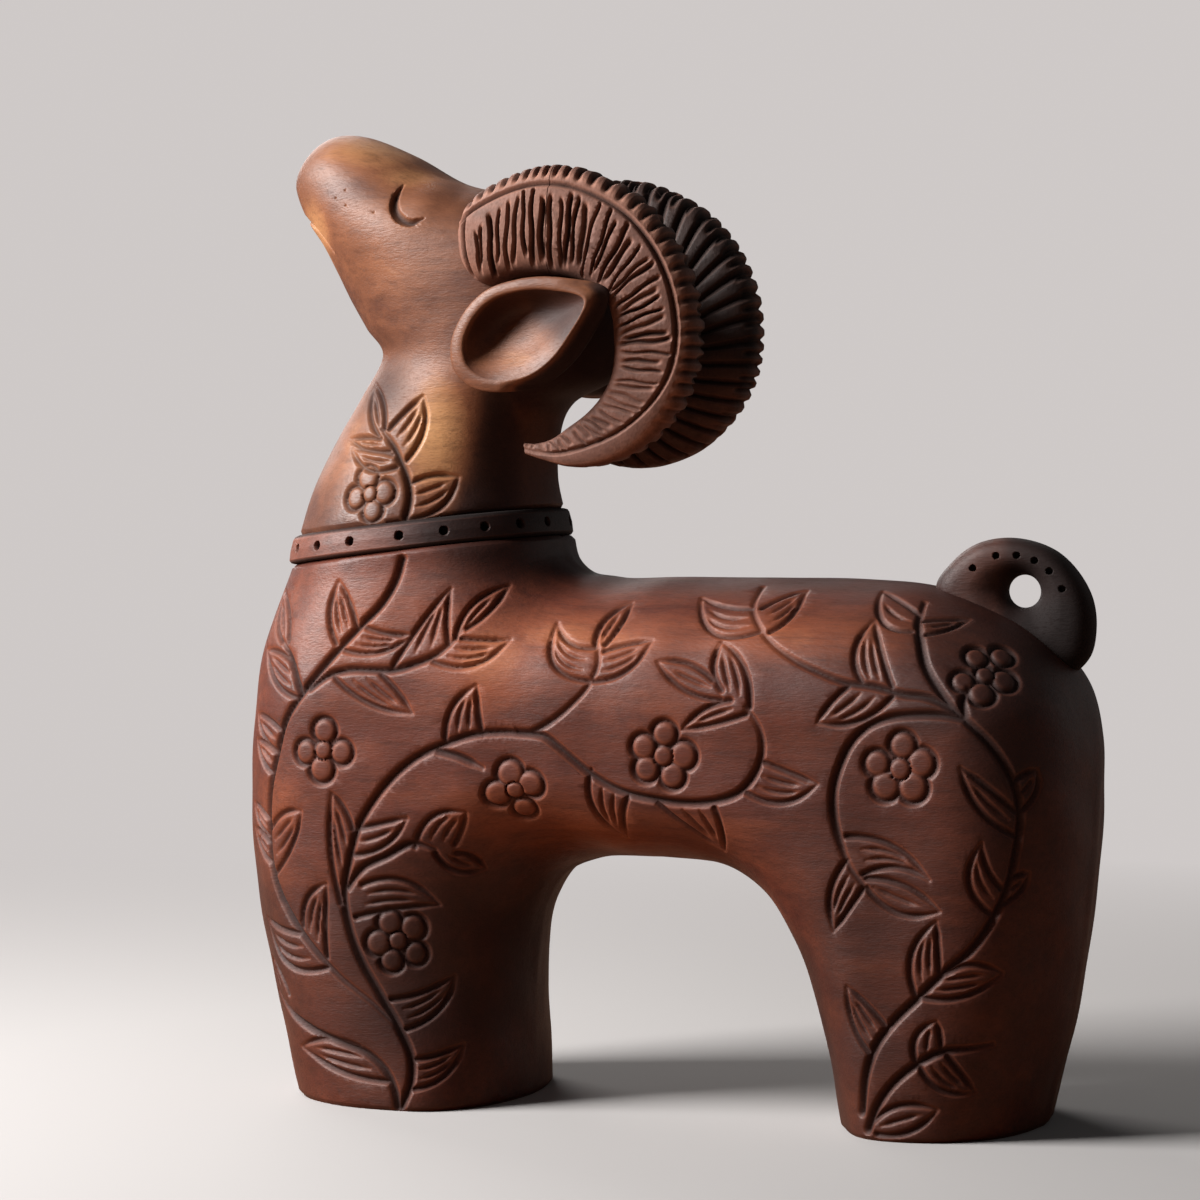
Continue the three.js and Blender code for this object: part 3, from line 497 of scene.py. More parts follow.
# %% Grid of the flank
BODY_ROWS, BODY_STEPS = 1080, 330
ARCH_SHARES = [0, 0.22, 0.34, 1]
outer = np.vstack([chest, back])
outer_run = length_along(outer)
joints = outer_run[[0, len(chest) - 1, len(chest), -1]] / outer_run[-1]
share = np.linspace(0, 1, BODY_ROWS)
outside = at_share(outer, share)
inside = at_share(arch, np.interp(share, joints, ARCH_SHARES))
fan = (0.5 - 0.5 * np.cos(np.linspace(0, np.pi, BODY_STEPS)))[None, :, None]
plan = (1 - fan) * inside[:, None] + fan * outside[:, None]
height = flank(plan.reshape(-1, 2)).reshape(BODY_ROWS, BODY_STEPS)
seat = (share > joints[1] + 1e-9) & (share < joints[2] - 1e-9)
height[:, 0] = 0
height[~seat, -1] = 0
body_grid = np.stack([plan[..., 0], -height, plan[..., 1]], -1)
print("flank reaches y =", round(-height.max(), 2), "mm with", body_grid.shape[:2], "points")

# %% [markdown]
# ## The vine on the flank
# A vine climbs from the front foot over shoulder and belly, and another from the rear foot over rump and
# thigh. It is drawn here as a carver would pencil it on, in x and z on the side of the figure: stems as
# points along them, leaves as two feet, a tip and the bulge of each edge, flowers as a centre, a petal
# count, a reach and a turn.

# %% The vine on the flank
STEMS = {
    "shoulder": [
        (-72, 169), (-74, 162), (-78, 155), (-84, 149), (-92, 141), (-99, 133), (-104, 127), (-110, 119),
        (-114, 108), (-117, 97), (-118, 85), (-117, 74), (-113, 64), (-107, 56), (-99, 48), (-90, 40),
        (-80, 33), (-73, 27),
    ],
    "breast": [(-104, 127), (-106, 131), (-110, 138), (-114, 143)],
    "withers": [
        (-101, 129), (-95, 133), (-87, 135), (-80, 135), (-73, 135), (-66, 137), (-59, 140), (-54, 144),
        (-51, 148),
    ],
    "foreleg": [
        (-70, 1), (-67, 9), (-67, 16), (-71, 25), (-77, 35), (-83, 45), (-87, 55), (-89, 66), (-87, 77),
        (-84, 87), (-79, 95), (-72, 103), (-64, 109), (-55, 113), (-46, 116), (-36, 117), (-28, 117),
        (-20, 121), (-14, 126), (-9, 132), (-7, 138), (-8, 143),
    ],
    "belly": [
        (-32, 117), (-23, 116), (-16, 111), (-8, 105), (2, 100), (12, 98), (22, 97), (31, 98), (39, 101),
        (44, 107), (46, 114), (45, 120), (41, 126),
    ],
    "bud": [(-58, 111), (-50, 109), (-43, 106)],
    "knee": [(-88, 68), (-83, 74), (-75, 78), (-66, 82), (-60, 80)],
    "toe": [(-71, 1), (-72, 6), (-75, 12), (-81, 17), (-90, 20), (-101, 23), (-111, 27), (-120, 33)],
    "rump": [
        (76, 8), (78, 20), (81, 28), (86, 35), (93, 42), (101, 50), (109, 57), (115, 66), (119, 76),
        (121, 86), (122, 95), (121, 103), (118, 111), (114, 117), (109, 122), (103, 127), (96, 130),
        (88, 131), (80, 133), (71, 134), (62, 137), (53, 141), (45, 146), (40, 151), (37, 155), (36, 161),
    ],
    "croup": [(103, 127), (99, 132), (94, 139), (91, 146), (89, 151), (88, 157)],
    "bloom": [(107, 124), (106, 129), (107, 133)],
    "thigh": [
        (107, 124), (101, 125), (93, 125), (85, 124), (78, 121), (73, 116), (70, 110), (68, 103),
        (68, 95), (70, 87), (73, 80), (77, 75),
    ],
    "hock": [(78, 3), (81, 10), (86, 17), (93, 23), (100, 27), (108, 28), (114, 29)],
}
LEAVES = {
    "shoulder": [
        ((-93, 143), (-86, 148), (-94, 162), 0.15, 0.05), ((-83, 148), (-90, 141), (-67, 146), -0.06, 0.13),
        ((-113, 116), (-114, 109), (-125, 120), 0.08, 0.12),
        ((-114, 108), (-116, 102), (-125, 112), 0.08, 0.12),
        ((-118, 87), (-118, 82), (-127, 92), 0.08, 0.12), ((-118, 80), (-117, 74), (-127, 84), 0.08, 0.12),
        ((-117, 85), (-115, 71), (-104, 91), 0.14, 0.08), ((-104, 55), (-95, 46), (-95, 69), 0.2, -0.02),
        ((-105, 53), (-95, 43), (-122, 56), -0.05, 0.24), ((-74, 34), (-69, 25), (-57, 41), -0.08, 0.17),
    ],
    "breast": [
        ((-115, 143), (-112, 143), (-121, 159), 0.13, 0.13),
        ((-108, 136), (-106, 126), (-122, 140), 0.1, 0.14),
    ],
    "withers": [
        ((-73, 136), (-55, 143), (-56, 160), 0.03, -0.05), ((-53, 145), (-50, 148), (-40, 161), 0.16, 0.1),
        ((-51, 145), (-60, 138), (-36, 145), -0.02, 0.19), ((-77, 134), (-93, 133), (-66, 122), 0.04, 0.1),
    ],
    "foreleg": [
        ((-66, 16), (-66, 7), (-54, 20), -0.06, 0.2), ((-55, 113), (-43, 116), (-45, 131), 0.17, -0.03),
        ((-90, 63), (-86, 86), (-93, 97), 0.06, 0.07), ((-85, 86), (-87, 78), (-68, 90), 0.0, 0.15),
        ((-83, 69), (-85, 59), (-60, 63), 0.2, -0.03), ((-9, 143), (-9, 133), (-23, 150), -0.17, 0.28),
        ((-9, 143), (-6, 144), (-2, 156), 0.24, 0.07), ((-6, 142), (-8, 133), (9, 145), 0.04, 0.17),
    ],
    "knee": [
        ((-66, 81), (-54, 82), (-49, 92), 0.22, 0.03), ((-54, 79), (-60, 79), (-47, 74), 0.18, 0.24),
    ],
    "toe": [
        ((-84, 19), (-74, 9), (-107, 17), 0.12, 0.06), ((-120, 34), (-112, 33), (-122, 43), 0.08, 0.1),
    ],
    "belly": [
        ((30, 134), (33, 128), (12, 139), 0.12, 0.12), ((33, 131), (42, 126), (31, 145), 0.16, 0.16),
        ((36, 128), (41, 124), (21, 119), 0.1, 0.03), ((46, 110), (41, 101), (63, 104), 0.0, 0.19),
        ((-8, 106), (4, 99), (0, 85), 0.18, -0.05), ((13, 97), (31, 96), (31, 82), 0.02, 0.1),
    ],
    "rump": [
        ((37, 155), (42, 148), (19, 158), -0.05, 0.24), ((40, 155), (45, 148), (51, 160), 0.05, 0.17),
        ((76, 134), (85, 133), (76, 152), 0.2, 0.0), ((72, 133), (86, 131), (63, 122), 0.05, 0.155),
        ((121, 97), (121, 90), (106, 110), 0.03, 0.12), ((115, 67), (118, 74), (112, 88), 0.24, -0.1),
        ((93, 43), (100, 50), (99, 65), 0.2, 0.0), ((102, 50), (94, 43), (117, 50), 0.18, 0.14),
        ((79, 26), (84, 34), (72, 45), 0.12, 0.03), ((120, 105), (122, 97), (126, 109), 0.1, 0.14),
        ((119, 77), (117, 70), (124, 79), 0.1, 0.14),
    ],
    "croup": [
        ((88, 154), (88, 149), (74, 160), 0.02, 0.22), ((90, 152), (92, 148), (102, 152), 0.02, 0.08),
    ],
    "thigh": [
        ((72, 89), (77, 78), (97, 77), 0.14, -0.15), ((78, 77), (78, 74), (100, 68), 0.115, 0.18),
        ((72, 82), (77, 74), (68, 61), 0.14, 0.0),
    ],
    "hock": [
        ((93, 24), (100, 27), (99, 36), 0.24, 0.06), ((94, 23), (102, 26), (109, 15), 0.2, 0.02),
        ((80, 6), (81, 2), (99, 10), 0.16, 0.14),
    ],
}
FLOWERS = [
    (-96, 110, 4, 10, 90), (15, 111, 5, 10.5, 80), (-33, 99, 4, 10, 106), (-72, 52, 5, 10, 110),
    (88, 109, 5, 11, 90), (111, 137, 5, 9.5, 125),
]
vine = [stem_stroke(points, flank_lift) for points in STEMS.values()]
vine += [cut for group in LEAVES.values() for leaf in group for cut in leaf_strokes(leaf, flank_lift)]
blossoms = [flower_discs(flower, flank_lift) for flower in FLOWERS]
body_points = body_grid.reshape(-1, 3)
groove = np.maximum(gouge(body_points, vine), sink_flowers(body_points, blossoms))
print(len(vine), "strokes and", len(FLOWERS), "flowers, deepest cut", round(groove.max(), 2), "mm")

# %% [markdown]
# ## Carved body halves
# The cut is taken off along the normal, and the edges of the collar seat and of the feet are eased with a
# small bevel. The half is closed by the soles, the seat and the flat glue face, then thinned where it is
# plain, so that most of its triangles lie in the carving. The right half mirrors it: its side isn't seen,
# and such figures match.

# %% Hand work, wear, stain, painted light and painted shade
EDGE_EASE, EASE_SLOPE = 1.3, 0.8
SWELL_WAVES, SWELL_LENGTHS = 7, (20, 45)
BODY_SWELL, BODY_SKIM = 0.22, 0.25


def worn(points, places):
    """Soft round patches, used for wear and for painted light: the largest of bell-shaped bumps,
    each with a centre, a reach and a strength.
    """
    bumps = [s * np.exp(-(((points - np.array(p)) / np.array(r)) ** 2).sum(1)) for p, r, s in places]
    return np.max(bumps, axis=0)


def bevel(gap):
    """Depth of an eased edge: a slope that ends at the ease's width."""
    return np.clip(EDGE_EASE - gap, 0, None) * EASE_SLOPE


def hand_worked(points, swell):
    """Slight swells left by hand tools: half the sum of a few long sine waves in different directions."""
    draw = np.random.default_rng(5)
    waves = np.zeros(len(points))
    for _ in range(SWELL_WAVES):
        heading = draw.normal(size=3)
        heading *= 2 * np.pi / draw.uniform(*SWELL_LENGTHS) / np.linalg.norm(heading)
        waves += np.sin(points @ heading + draw.uniform(0, 6.28))
    return swell * waves / 2


def painted_body_shade(points):
    """Painted shade with some darker stain, from 0 to 1: the largest of soft masks for the side of the rump
    that turns from the lamp, the croup, the nape's corner, the top of the back, the far side of the front
    leg, the rear leg, and the arch's edge where the front leg shades the rear leg. Each is a product of
    smooth steps in mm."""
    x, y, z = points.T
    upper = smoothstep(70, 110, z)
    rear = smoothstep(96 - 20 * upper, 124 - 8 * upper, x) * (0.6 + 0.4 * upper)
    rear = rear * (1 - 0.4 * smoothstep(122, 135, x))
    croup = 0.9 * smoothstep(66, 98, x) * smoothstep(104, 124, z)
    nape = smoothstep(-74, -50, x) * smoothstep(-5, -25, x) * smoothstep(152, 172, z)
    top = 0.75 * smoothstep(36, 12, np.abs(y)) * smoothstep(148, 162, z)
    across = 0.55 + 0.4 * smoothstep(-100, -72, x) + 0.25 * smoothstep(-100, -120, x)
    front_leg = smoothstep(105, 55, z) * across * smoothstep(0, -20, x) * (0.7 + 0.3 * smoothstep(8, 30, z))
    rear_leg = (0.5 + 0.15 * smoothstep(130, 60, z) * smoothstep(108, 84, x)) * smoothstep(32, 68, x)
    arch_edge = smoothstep(24, 4, x - 60.5 + 0.22 * z) * smoothstep(70, 50, z) * smoothstep(18, 32, x)
    return np.clip(np.maximum.reduce([rear, croup, nape, top, front_leg, rear_leg, arch_edge]), 0, 1)


# Centre, reach and strength of each worn place; those along the top of the flank also paint a highlight
#  where it rounds over toward the lamp
BODY_WEAR_AND_HIGHLIGHT = [
    ((-92, -36, 150), (24, 40, 18), 0.5), ((-42, -43, 139), (18, 40, 14), 0.75),
    ((-16, -42, 146), (32, 40, 9), 0.65), ((58, -42, 147), (38, 40, 8), 0.6),
    ((-8, -30, 84), (40, 40, 9), 0.6), ((-42, -30, 88), (14, 40, 10), 0.5),
    ((-114, -34, 90), (10, 40, 24), 0.35), ((8, -45, 128), (20, 40, 12), 0.15),
]
print(len(BODY_WEAR_AND_HIGHLIGHT), "worn places on each flank")

# %% Cutting the flank
BEHIND_COLLAR, FAR_OFF = -32, 99
x, y, z = body_points.T
off_collar = np.where(x < BEHIND_COLLAR, collar_low(x) - z, FAR_OFF)
off_edges = smoothstep(0, 6, -y) * smoothstep(0, 8, off_collar)
cut = np.maximum(groove, bevel(z)) + off_edges * (BODY_SKIM + hand_worked(body_points, BODY_SWELL))
to_neck = (np.array([COLLAR_X, 0, 0]) - body_points) * [1, 1, 0]
to_neck /= np.linalg.norm(to_neck, axis=1, keepdims=True)
normal = normals_of(body_grid, wrap=False, away=[0, -1, 0]).reshape(-1, 3)
carved = body_points - cut[:, None] * normal + bevel(off_collar)[:, None] * to_neck
carved = carved.reshape(body_grid.shape)
carved[:, 0, 1] = 0
carved[~seat, -1, 1] = 0
carved[[0, -1], :, 2] = 0
print("most wood taken off the flank:", round(float(cut.max()), 2), "mm")

# %% Closing the halves
FLANK_TOP, STRIP_LOW, STRIP_HIGH, STRIP_LENGTH, STRIP_PITCH = 0.88, 0.9, 0.93, 0.3, 0.33
GLUE_SPAN, GLUE_SHARE, GLUE_CENTRE = 400, 0.1, np.array([0.5, 0.945])
BODY_TRIANGLES = 198_000


def body_half(name, grid, attributes):
    """Closes the flank's grid with strips to the glue plane along the soles and the seat, and one flat face.
    UV: the flank fills most of the map, with the three strips and the small glue face above it."""
    rows, steps = grid.shape[:2]
    index = np.arange(rows * steps).reshape(rows, steps)
    flat = [grid.reshape(-1, 3)]
    count = rows * steps
    strips, glue = [], {}
    for label, line in (("front", index[0]), ("rear", index[-1]), ("seat", index[seat, -1])):
        ends = slice(1, -1) if label != "seat" else slice(None)
        inner = line.copy()
        inner[ends] = count + np.arange(len(line[ends]))
        count += len(line[ends])
        flat.append(grid.reshape(-1, 3)[line[ends]] * [1, 0, 1])
        glue[label] = inner
        strips.append((line, inner))
    seat_rows = np.flatnonzero(seat)
    brow, tail = index[:seat_rows[0], -1], index[seat_rows[-1] + 1:, -1]
    loop = np.concatenate([
        glue["front"], brow[1:], glue["seat"], tail[:-1], glue["rear"][::-1], index[-2:0:-1, 0],
    ])
    quads = np.stack([index[:-1, :-1], index[:-1, 1:], index[1:, 1:], index[1:, :-1]], -1).reshape(-1, 4)
    faces = quads.tolist()
    u, v = np.meshgrid(np.linspace(0, 1, steps), np.linspace(0, FLANK_TOP, rows))
    uv = [np.stack([u, v], -1).reshape(-1, 2)[quads].reshape(-1, 2)]
    for k, (line, inner) in enumerate(strips):
        band = np.stack([line[:-1], inner[:-1], inner[1:], line[1:]], 1)
        if k == 0:
            band = band[:, ::-1]
        faces += [list(dict.fromkeys(face)) for face in band.tolist()]
        along = np.linspace(0, STRIP_LENGTH, len(line)) + STRIP_PITCH * k
        corner = np.stack([along[:-1], along[:-1], along[1:], along[1:]], 1)
        rise = np.broadcast_to([STRIP_LOW, STRIP_HIGH, STRIP_HIGH, STRIP_LOW], corner.shape)
        if k == 0:
            corner, rise = corner[:, ::-1], rise[:, ::-1]
        kept = np.array([[c not in face[:m] for m, c in enumerate(face)] for face in band.tolist()])
        uv.append(np.stack([corner, rise], -1)[kept])
    faces.append(loop.tolist())
    points = np.vstack(flat)
    uv.append(points[loop, ::2] / GLUE_SPAN * GLUE_SHARE + GLUE_CENTRE)
    return make_piece(name, points, faces, np.vstack(uv), attributes)


# stain_and_shade carries the flank's painted shade, wear_and_light its wear and a painted highlight
body_left = body_half("body_left", carved, {
    "groove": groove / DEEPEST, "stain_and_shade": painted_body_shade(body_points), "wear_and_light": worn(body_points, BODY_WEAR_AND_HIGHLIGHT),
})
thin_out(body_left, BODY_TRIANGLES)
body_right = mirror_piece(body_left, "body_right")
print("body halves:", body_left.name, "and", body_right.name)

# %% [markdown]
# ## Neck and head
# One block makes the neck and the lifted head. Its sections are rounded ovals between a front edge and a
# back edge, given at stations from the collar to the muzzle. Sculpting would do as well, but a table of
# sections can be checked against measures and changed later.

# %% Neck and head
# Front edge in x and z, back edge in x and z and half width at each station
HEAD = np.array([
    (-121.5, 175.2, -36.5, 184.7, 38), (-115.2, 193, -38.6, 195, 35.5), (-107.8, 207.5, -38, 206.5, 33),
    (-100, 220, -33, 217, 31), (-93.3, 232.5, -17.5, 226, 30), (-99.5, 240.5, -8.5, 246, 30.5),
    (-104.5, 248.5, -22, 271, 30.5), (-109, 258, -45, 280.3, 29), (-113.5, 266.5, -66.5, 286.2, 26.5),
    (-118.3, 273.5, -85, 295.7, 23.5), (-122, 281, -101.5, 302.3, 18.5), (-123.3, 286, -112.6, 301.5, 11.5),
    (-120.6, 292.8, -120.6, 292.8, 0),
])
HEAD_SQUARENESS = 2.05
HEAD_ROWS, HEAD_STEPS, HEAD_FINE = 640, 500, 1200
LIFT_SIDE, LIFT_EVERY = -3, 3


def head_surface(station, angle):
    """Points of the head: an oval between the front and back edges at each station, read round by angle."""
    row = by_station(HEAD, station)
    front, rear, half = row[:, 0:2], row[:, 2:4], np.maximum(row[:, 4], 0)
    reach, side = squared(np.cos(angle), HEAD_SQUARENESS), squared(np.sin(angle), HEAD_SQUARENESS)
    flat = (front + rear) / 2 + (front - rear) / 2 * reach[:, None]
    return np.stack([flat[:, 0], half * side, flat[:, 1]], 1)


dense = np.linspace(0, len(HEAD) - 1, HEAD_FINE)
edges = by_station(HEAD, dense)
growth = np.linalg.norm(np.diff(edges, axis=0), axis=1)
station = np.interp(np.linspace(0, growth.sum(), HEAD_ROWS + 1)[:-1], np.append(0, np.cumsum(growth)), dense)
angle = np.linspace(0, 2 * np.pi, HEAD_STEPS, endpoint=False)
pairs = np.stack(np.meshgrid(station, angle, indexing="ij"), -1).reshape(-1, 2)
head_points = head_surface(*pairs.T)
head_grid = head_points.reshape(HEAD_ROWS, HEAD_STEPS, 3)
left_side = head_points[::LIFT_EVERY]
left_side = left_side[left_side[:, 1] < LIFT_SIDE]


def head_lift(path):
    """Points in x and z put on the left side of the head, at its nearest point."""
    path = np.atleast_2d(np.asarray(path, float))
    gap = (left_side[:, 0] - path[:, :1]) ** 2 + (left_side[:, 2] - path[:, 1:]) ** 2
    near = left_side[np.argmin(gap, axis=1)]
    return np.stack([path[:, 0], near[:, 1], path[:, 1]], 1)


print("head grid", head_grid.shape[:2], "and", len(left_side), "points to lift on")

# %% [markdown]
# ## Sprig, eye and mouth
# A sprig with one flower climbs from the collar, the eye is a closed crescent under a low lid, and the
# mouth is a line round the end of the muzzle. On the real figure these are cuts, so they go through the
# same gouge. Every point is folded over to the left before it is tested, which carves both sides at once.

# %% Sprig, eye and mouth
NECK_STEM = [(-72, 181), (-71, 188), (-72, 193), (-75, 199), (-79, 205), (-83, 209)]
NECK_LEAVES = [
    ((-84, 207), (-82, 209), (-89, 223), 0.15, 0.12), ((-80, 209), (-73, 199), (-69, 219), 0.02, 0.15),
    ((-83, 206), (-79, 202), (-96, 206), 0.03, 0.08), ((-78, 201), (-76, 197), (-94, 203), 0.03, 0.2),
    ((-71, 192), (-71, 181), (-57, 194), 0.1, 0.2),
]
NECK_FLOWER = (-85, 189, 4, 9, 100)
EYE = [(-79.6, 285.5), (-80.8, 280.5), (-80, 276.6), (-77.4, 273.6), (-74.4, 272.4), (-70, 273.6)]
EYE_HALF_WIDTH, EYE_DEPTH, EYE_WALL = [0.2, 1.2, 1.6, 1.7, 1.4, 0.5], 1.7, 0.45
LID_CENTRE, LID_REACH, LID_RISE, LID_SIDE = (-71, 281), 11, 1.0, -8
# Station and angle in degrees along the mouth
MOUTH = [(9.45, 0), (9.3, -16), (8.9, -29), (8.2, -36), (7.5, -38)]
MOUTH_HALF_WIDTH, MOUTH_DEPTH = 1.8, 2.2
PITS = [(-101.5, 281), (-98, 283.5), (-97.5, 278.5), (-87, 276)]
PIT_RADIUS, PIT_DEPTH = 0.45, 0.5
NECK_PETAL_DEPTH = 1.3

sprig = [stem_stroke(NECK_STEM, head_lift)]
sprig += [cut for leaf in NECK_LEAVES for cut in leaf_strokes(leaf, head_lift)]
eye = head_lift(outline(EYE, 25))
eye_half = np.interp(np.linspace(0, 1, 25), np.linspace(0, 1, len(EYE)), EYE_HALF_WIDTH)
mouth_station, mouth_angle = outline(MOUTH, 30).T
mouth = head_surface(mouth_station, np.radians(mouth_angle))
features = sprig + [stroke(mouth, MOUTH_HALF_WIDTH, MOUTH_DEPTH, end=0.25)]
folded = head_points * [1, 0, 1] - [0, 1, 0] * np.abs(head_points[:, 1:2])
eye_deep = EYE_DEPTH * np.minimum(1, eye_half / 1.2)
head_groove = np.maximum(gouge(folded, features), gouge(folded, [(eye, eye_half, eye_deep)], EYE_WALL))
neck_bloom = [flower_discs(NECK_FLOWER, head_lift)]
head_groove = np.maximum(head_groove, sink_flowers(folded, neck_bloom, NECK_PETAL_DEPTH))
pits = np.linalg.norm(folded[:, None] - head_lift(PITS), axis=2).min(1)
head_groove = np.maximum(head_groove, PIT_DEPTH * np.clip(1 - pits / PIT_RADIUS, 0, 1))
lid = np.hypot(folded[:, 0] - LID_CENTRE[0], folded[:, 2] - LID_CENTRE[1]) / LID_REACH
rise = np.where(folded[:, 1] < LID_SIDE, LID_RISE * np.clip(1 - lid**2, 0, 1) ** 3, 0)
print("eye cut up to", EYE_DEPTH, "mm deep, mouth", len(mouth), "points")

# %% [markdown]
# ## Head piece
# The cuts are taken off along the normal, the lid is left standing, and the foot of the neck is eased
# where it meets the collar. Painted shade at the nape, throat, crown and under the ear, a darker nose end
# and soft patches of wear are worked out on the form and kept as attributes, so no image has to be
# painted and they stay in place on the mesh.

# %% Head piece
HEAD_WORN = [
    ((-64, -33, 207), (12, 30, 20), 1.2), ((-90, -28, 200), (18, 30, 20), 0.55),
    ((-92, -12, 297), (26, 30, 10), 0.8), ((-113, -16, 270), (9, 30, 15), 0.95),
    ((-78, -20, 288), (16, 30, 6), 0.7), ((-84, -28, 266), (26, 30, 20), 0.55),
]
HEAD_SWELL, HEAD_SKIM, HEAD_TRIANGLES = 0.18, 0.2, 190_000


def painted_head_shade(points):
    """Painted shade, from 0 to 1: the largest of soft masks for the nape, the throat's crease, the crown
    under the horns and the back of the head under the ear, where shade falls, and a darker end of the nose.
    They are made of smooth steps and a bell in mm."""
    x, z = points[:, 0], points[:, 2]
    nape = smoothstep(-60, -48, x + 0.2 * (206 - z)) * smoothstep(240, 222, z)
    nape = nape * (1 - 0.5 * smoothstep(-46, -39, x))
    nose = 0.6 * smoothstep(-100, -120, x) * smoothstep(268, 282, z)
    throat = 0.75 * np.exp(-((x + 84) / 14) ** 2 - ((z - 222) / 15) ** 2)
    crown = 0.8 * smoothstep(-72, -50, x) * smoothstep(255, 275, z)
    behind = smoothstep(-52, -40, x) * smoothstep(200, 222, z) * smoothstep(262, 250, z)
    return np.maximum.reduce([nape, nose, throat, crown, behind])


head_normal = normals_of(head_grid, wrap=True, away=head_grid - head_points.mean(0)).reshape(-1, 3)
above_collar = head_points[:, 2] - collar_low(head_points[:, 0]) - COLLAR_HEIGHT
head_cut = np.maximum(head_groove, bevel(np.abs(above_collar))) - rise
head_cut = head_cut + HEAD_SKIM + hand_worked(head_points, HEAD_SWELL)
head_carved = (head_points - head_cut[:, None] * head_normal).reshape(head_grid.shape)
# Painted shade on the head; its square also goes into the groove attribute, toward the groove colour
head_shade_mask = painted_head_shade(head_points)
head = loft_piece("head", head_carved, {
    "groove": np.maximum(head_groove / DEEPEST, 0.6 * head_shade_mask**2),
    "stain_and_shade": head_shade_mask,
    "wear_and_light": worn(folded, HEAD_WORN),
})
thin_out(head, HEAD_TRIANGLES)
print("deepest cut in the head:", round(float(head_groove.max()), 2), "mm")

# %% [markdown]
# ## Collar
# The collar is a tilted slice of darker wood between body and neck, a little proud of both, with a ring
# of blind holes drilled into its side. Its profile runs from the middle of the underside over a bevelled
# rim to the middle of the top, and each hole is a round dent in the side.

# %% Collar
COLLAR_HALF_LENGTH, COLLAR_HALF_WIDTH, COLLAR_TAPER, COLLAR_BEVEL = 44.6, 39.8, 1.2, 1.2
COLLAR_SQUARENESS = 2.25
HOLES_PER_SIDE, FIRST_HOLE, HOLE_RADIUS, HOLE_DEPTH = 10, 0.67, 1.4, 2.6
COLLAR_STEPS, COLLAR_TRIANGLES = 1150, 160_000


def collar_ring(turn, inset):
    """Points in x and y of the collar's oval, drawn in by an inset."""
    across = squared(np.cos(turn), COLLAR_SQUARENESS) * (COLLAR_HALF_LENGTH - inset)
    return COLLAR_X + across, squared(np.sin(turn), COLLAR_SQUARENESS) * (COLLAR_HALF_WIDTH - inset)


def dent(points, centres, radius, depth, wall=0.35):
    """Depth of round blind holes about centres, with a steep wall at the radius."""
    gap = np.full(len(points), np.inf)
    for centre in centres:
        gap = np.minimum(gap, np.linalg.norm(points - centre, axis=1))
    return depth * smoothstep(radius + wall / 2, radius - wall / 2, gap)


# Height and inset along the profile, from the underside to the top
GLUE_LINE = 0.15
low, high = GLUE_LINE, COLLAR_HEIGHT - GLUE_LINE
profile = np.array([
    (low, 6), (low, COLLAR_BEVEL + 0.3), (low + 0.35, 0.55), (low + COLLAR_BEVEL, 0), (high / 2, 0.35),
    (high - COLLAR_BEVEL, COLLAR_TAPER), (high - 0.35, COLLAR_TAPER + 0.55),
    (high, COLLAR_TAPER + COLLAR_BEVEL + 0.3), (high, 8),
])
profile = evenly(profile, 110)[6:]
turn = np.linspace(0, 2 * np.pi, COLLAR_STEPS, endpoint=False)
rise_at, inset_at = np.repeat(profile[:, :1], COLLAR_STEPS, 1), np.repeat(profile[:, 1:], COLLAR_STEPS, 1)
ring_x, ring_y = collar_ring(turn[None], inset_at)
collar_grid = np.stack([ring_x, ring_y, collar_low(ring_x) + rise_at], -1)
hole_turn = (np.arange(HOLES_PER_SIDE) + FIRST_HOLE) / HOLES_PER_SIDE * np.pi
hole_turn = np.concatenate([hole_turn, -hole_turn])
hole_x, hole_y = collar_ring(hole_turn, COLLAR_TAPER / 2)
mouths = np.stack([hole_x, hole_y, collar_low(hole_x) + COLLAR_HEIGHT / 2], 1)
collar_points = collar_grid.reshape(-1, 3)
holes = dent(collar_points, mouths, HOLE_RADIUS, HOLE_DEPTH)
inward = np.array([COLLAR_X, 0, 0]) - collar_points * [1, 1, 0]
inward /= np.linalg.norm(inward, axis=1, keepdims=True)
edge_dark = np.clip(1.6 - np.minimum(rise_at, COLLAR_HEIGHT - rise_at).ravel(), 0, 1)
# The collar's rear is darkened with painted shade and its front lightened with painted light, because the
# lamp stands in front and to the left; the holes and the edges take the groove colour
collar = loft_piece("collar", (collar_points + holes[:, None] * inward).reshape(collar_grid.shape), {
    "groove": np.maximum(holes / HOLE_DEPTH * 1.3, edge_dark),
    "stain_and_shade": smoothstep(-84, -60, collar_points[:, 0]),
    "wear_and_light": 0.45 * smoothstep(-62, -95, collar_points[:, 0]),
})
thin_out(collar, COLLAR_TRIANGLES)
print("collar ring", collar_grid.shape[:2], "with", len(mouths), "holes")

# %% [markdown]
# ## Horns
# Each horn is a flat-sided curl, glued on in two lengths. On its outer face a groove cuts off a plain
# rim, and short hand-cut ribs cross the rest. The inner face and the back edge carry coarser ribs that
# give the curl its toothed outline. All of them are cuts in the two parameters of the horn: length along
# it, and place round its section.

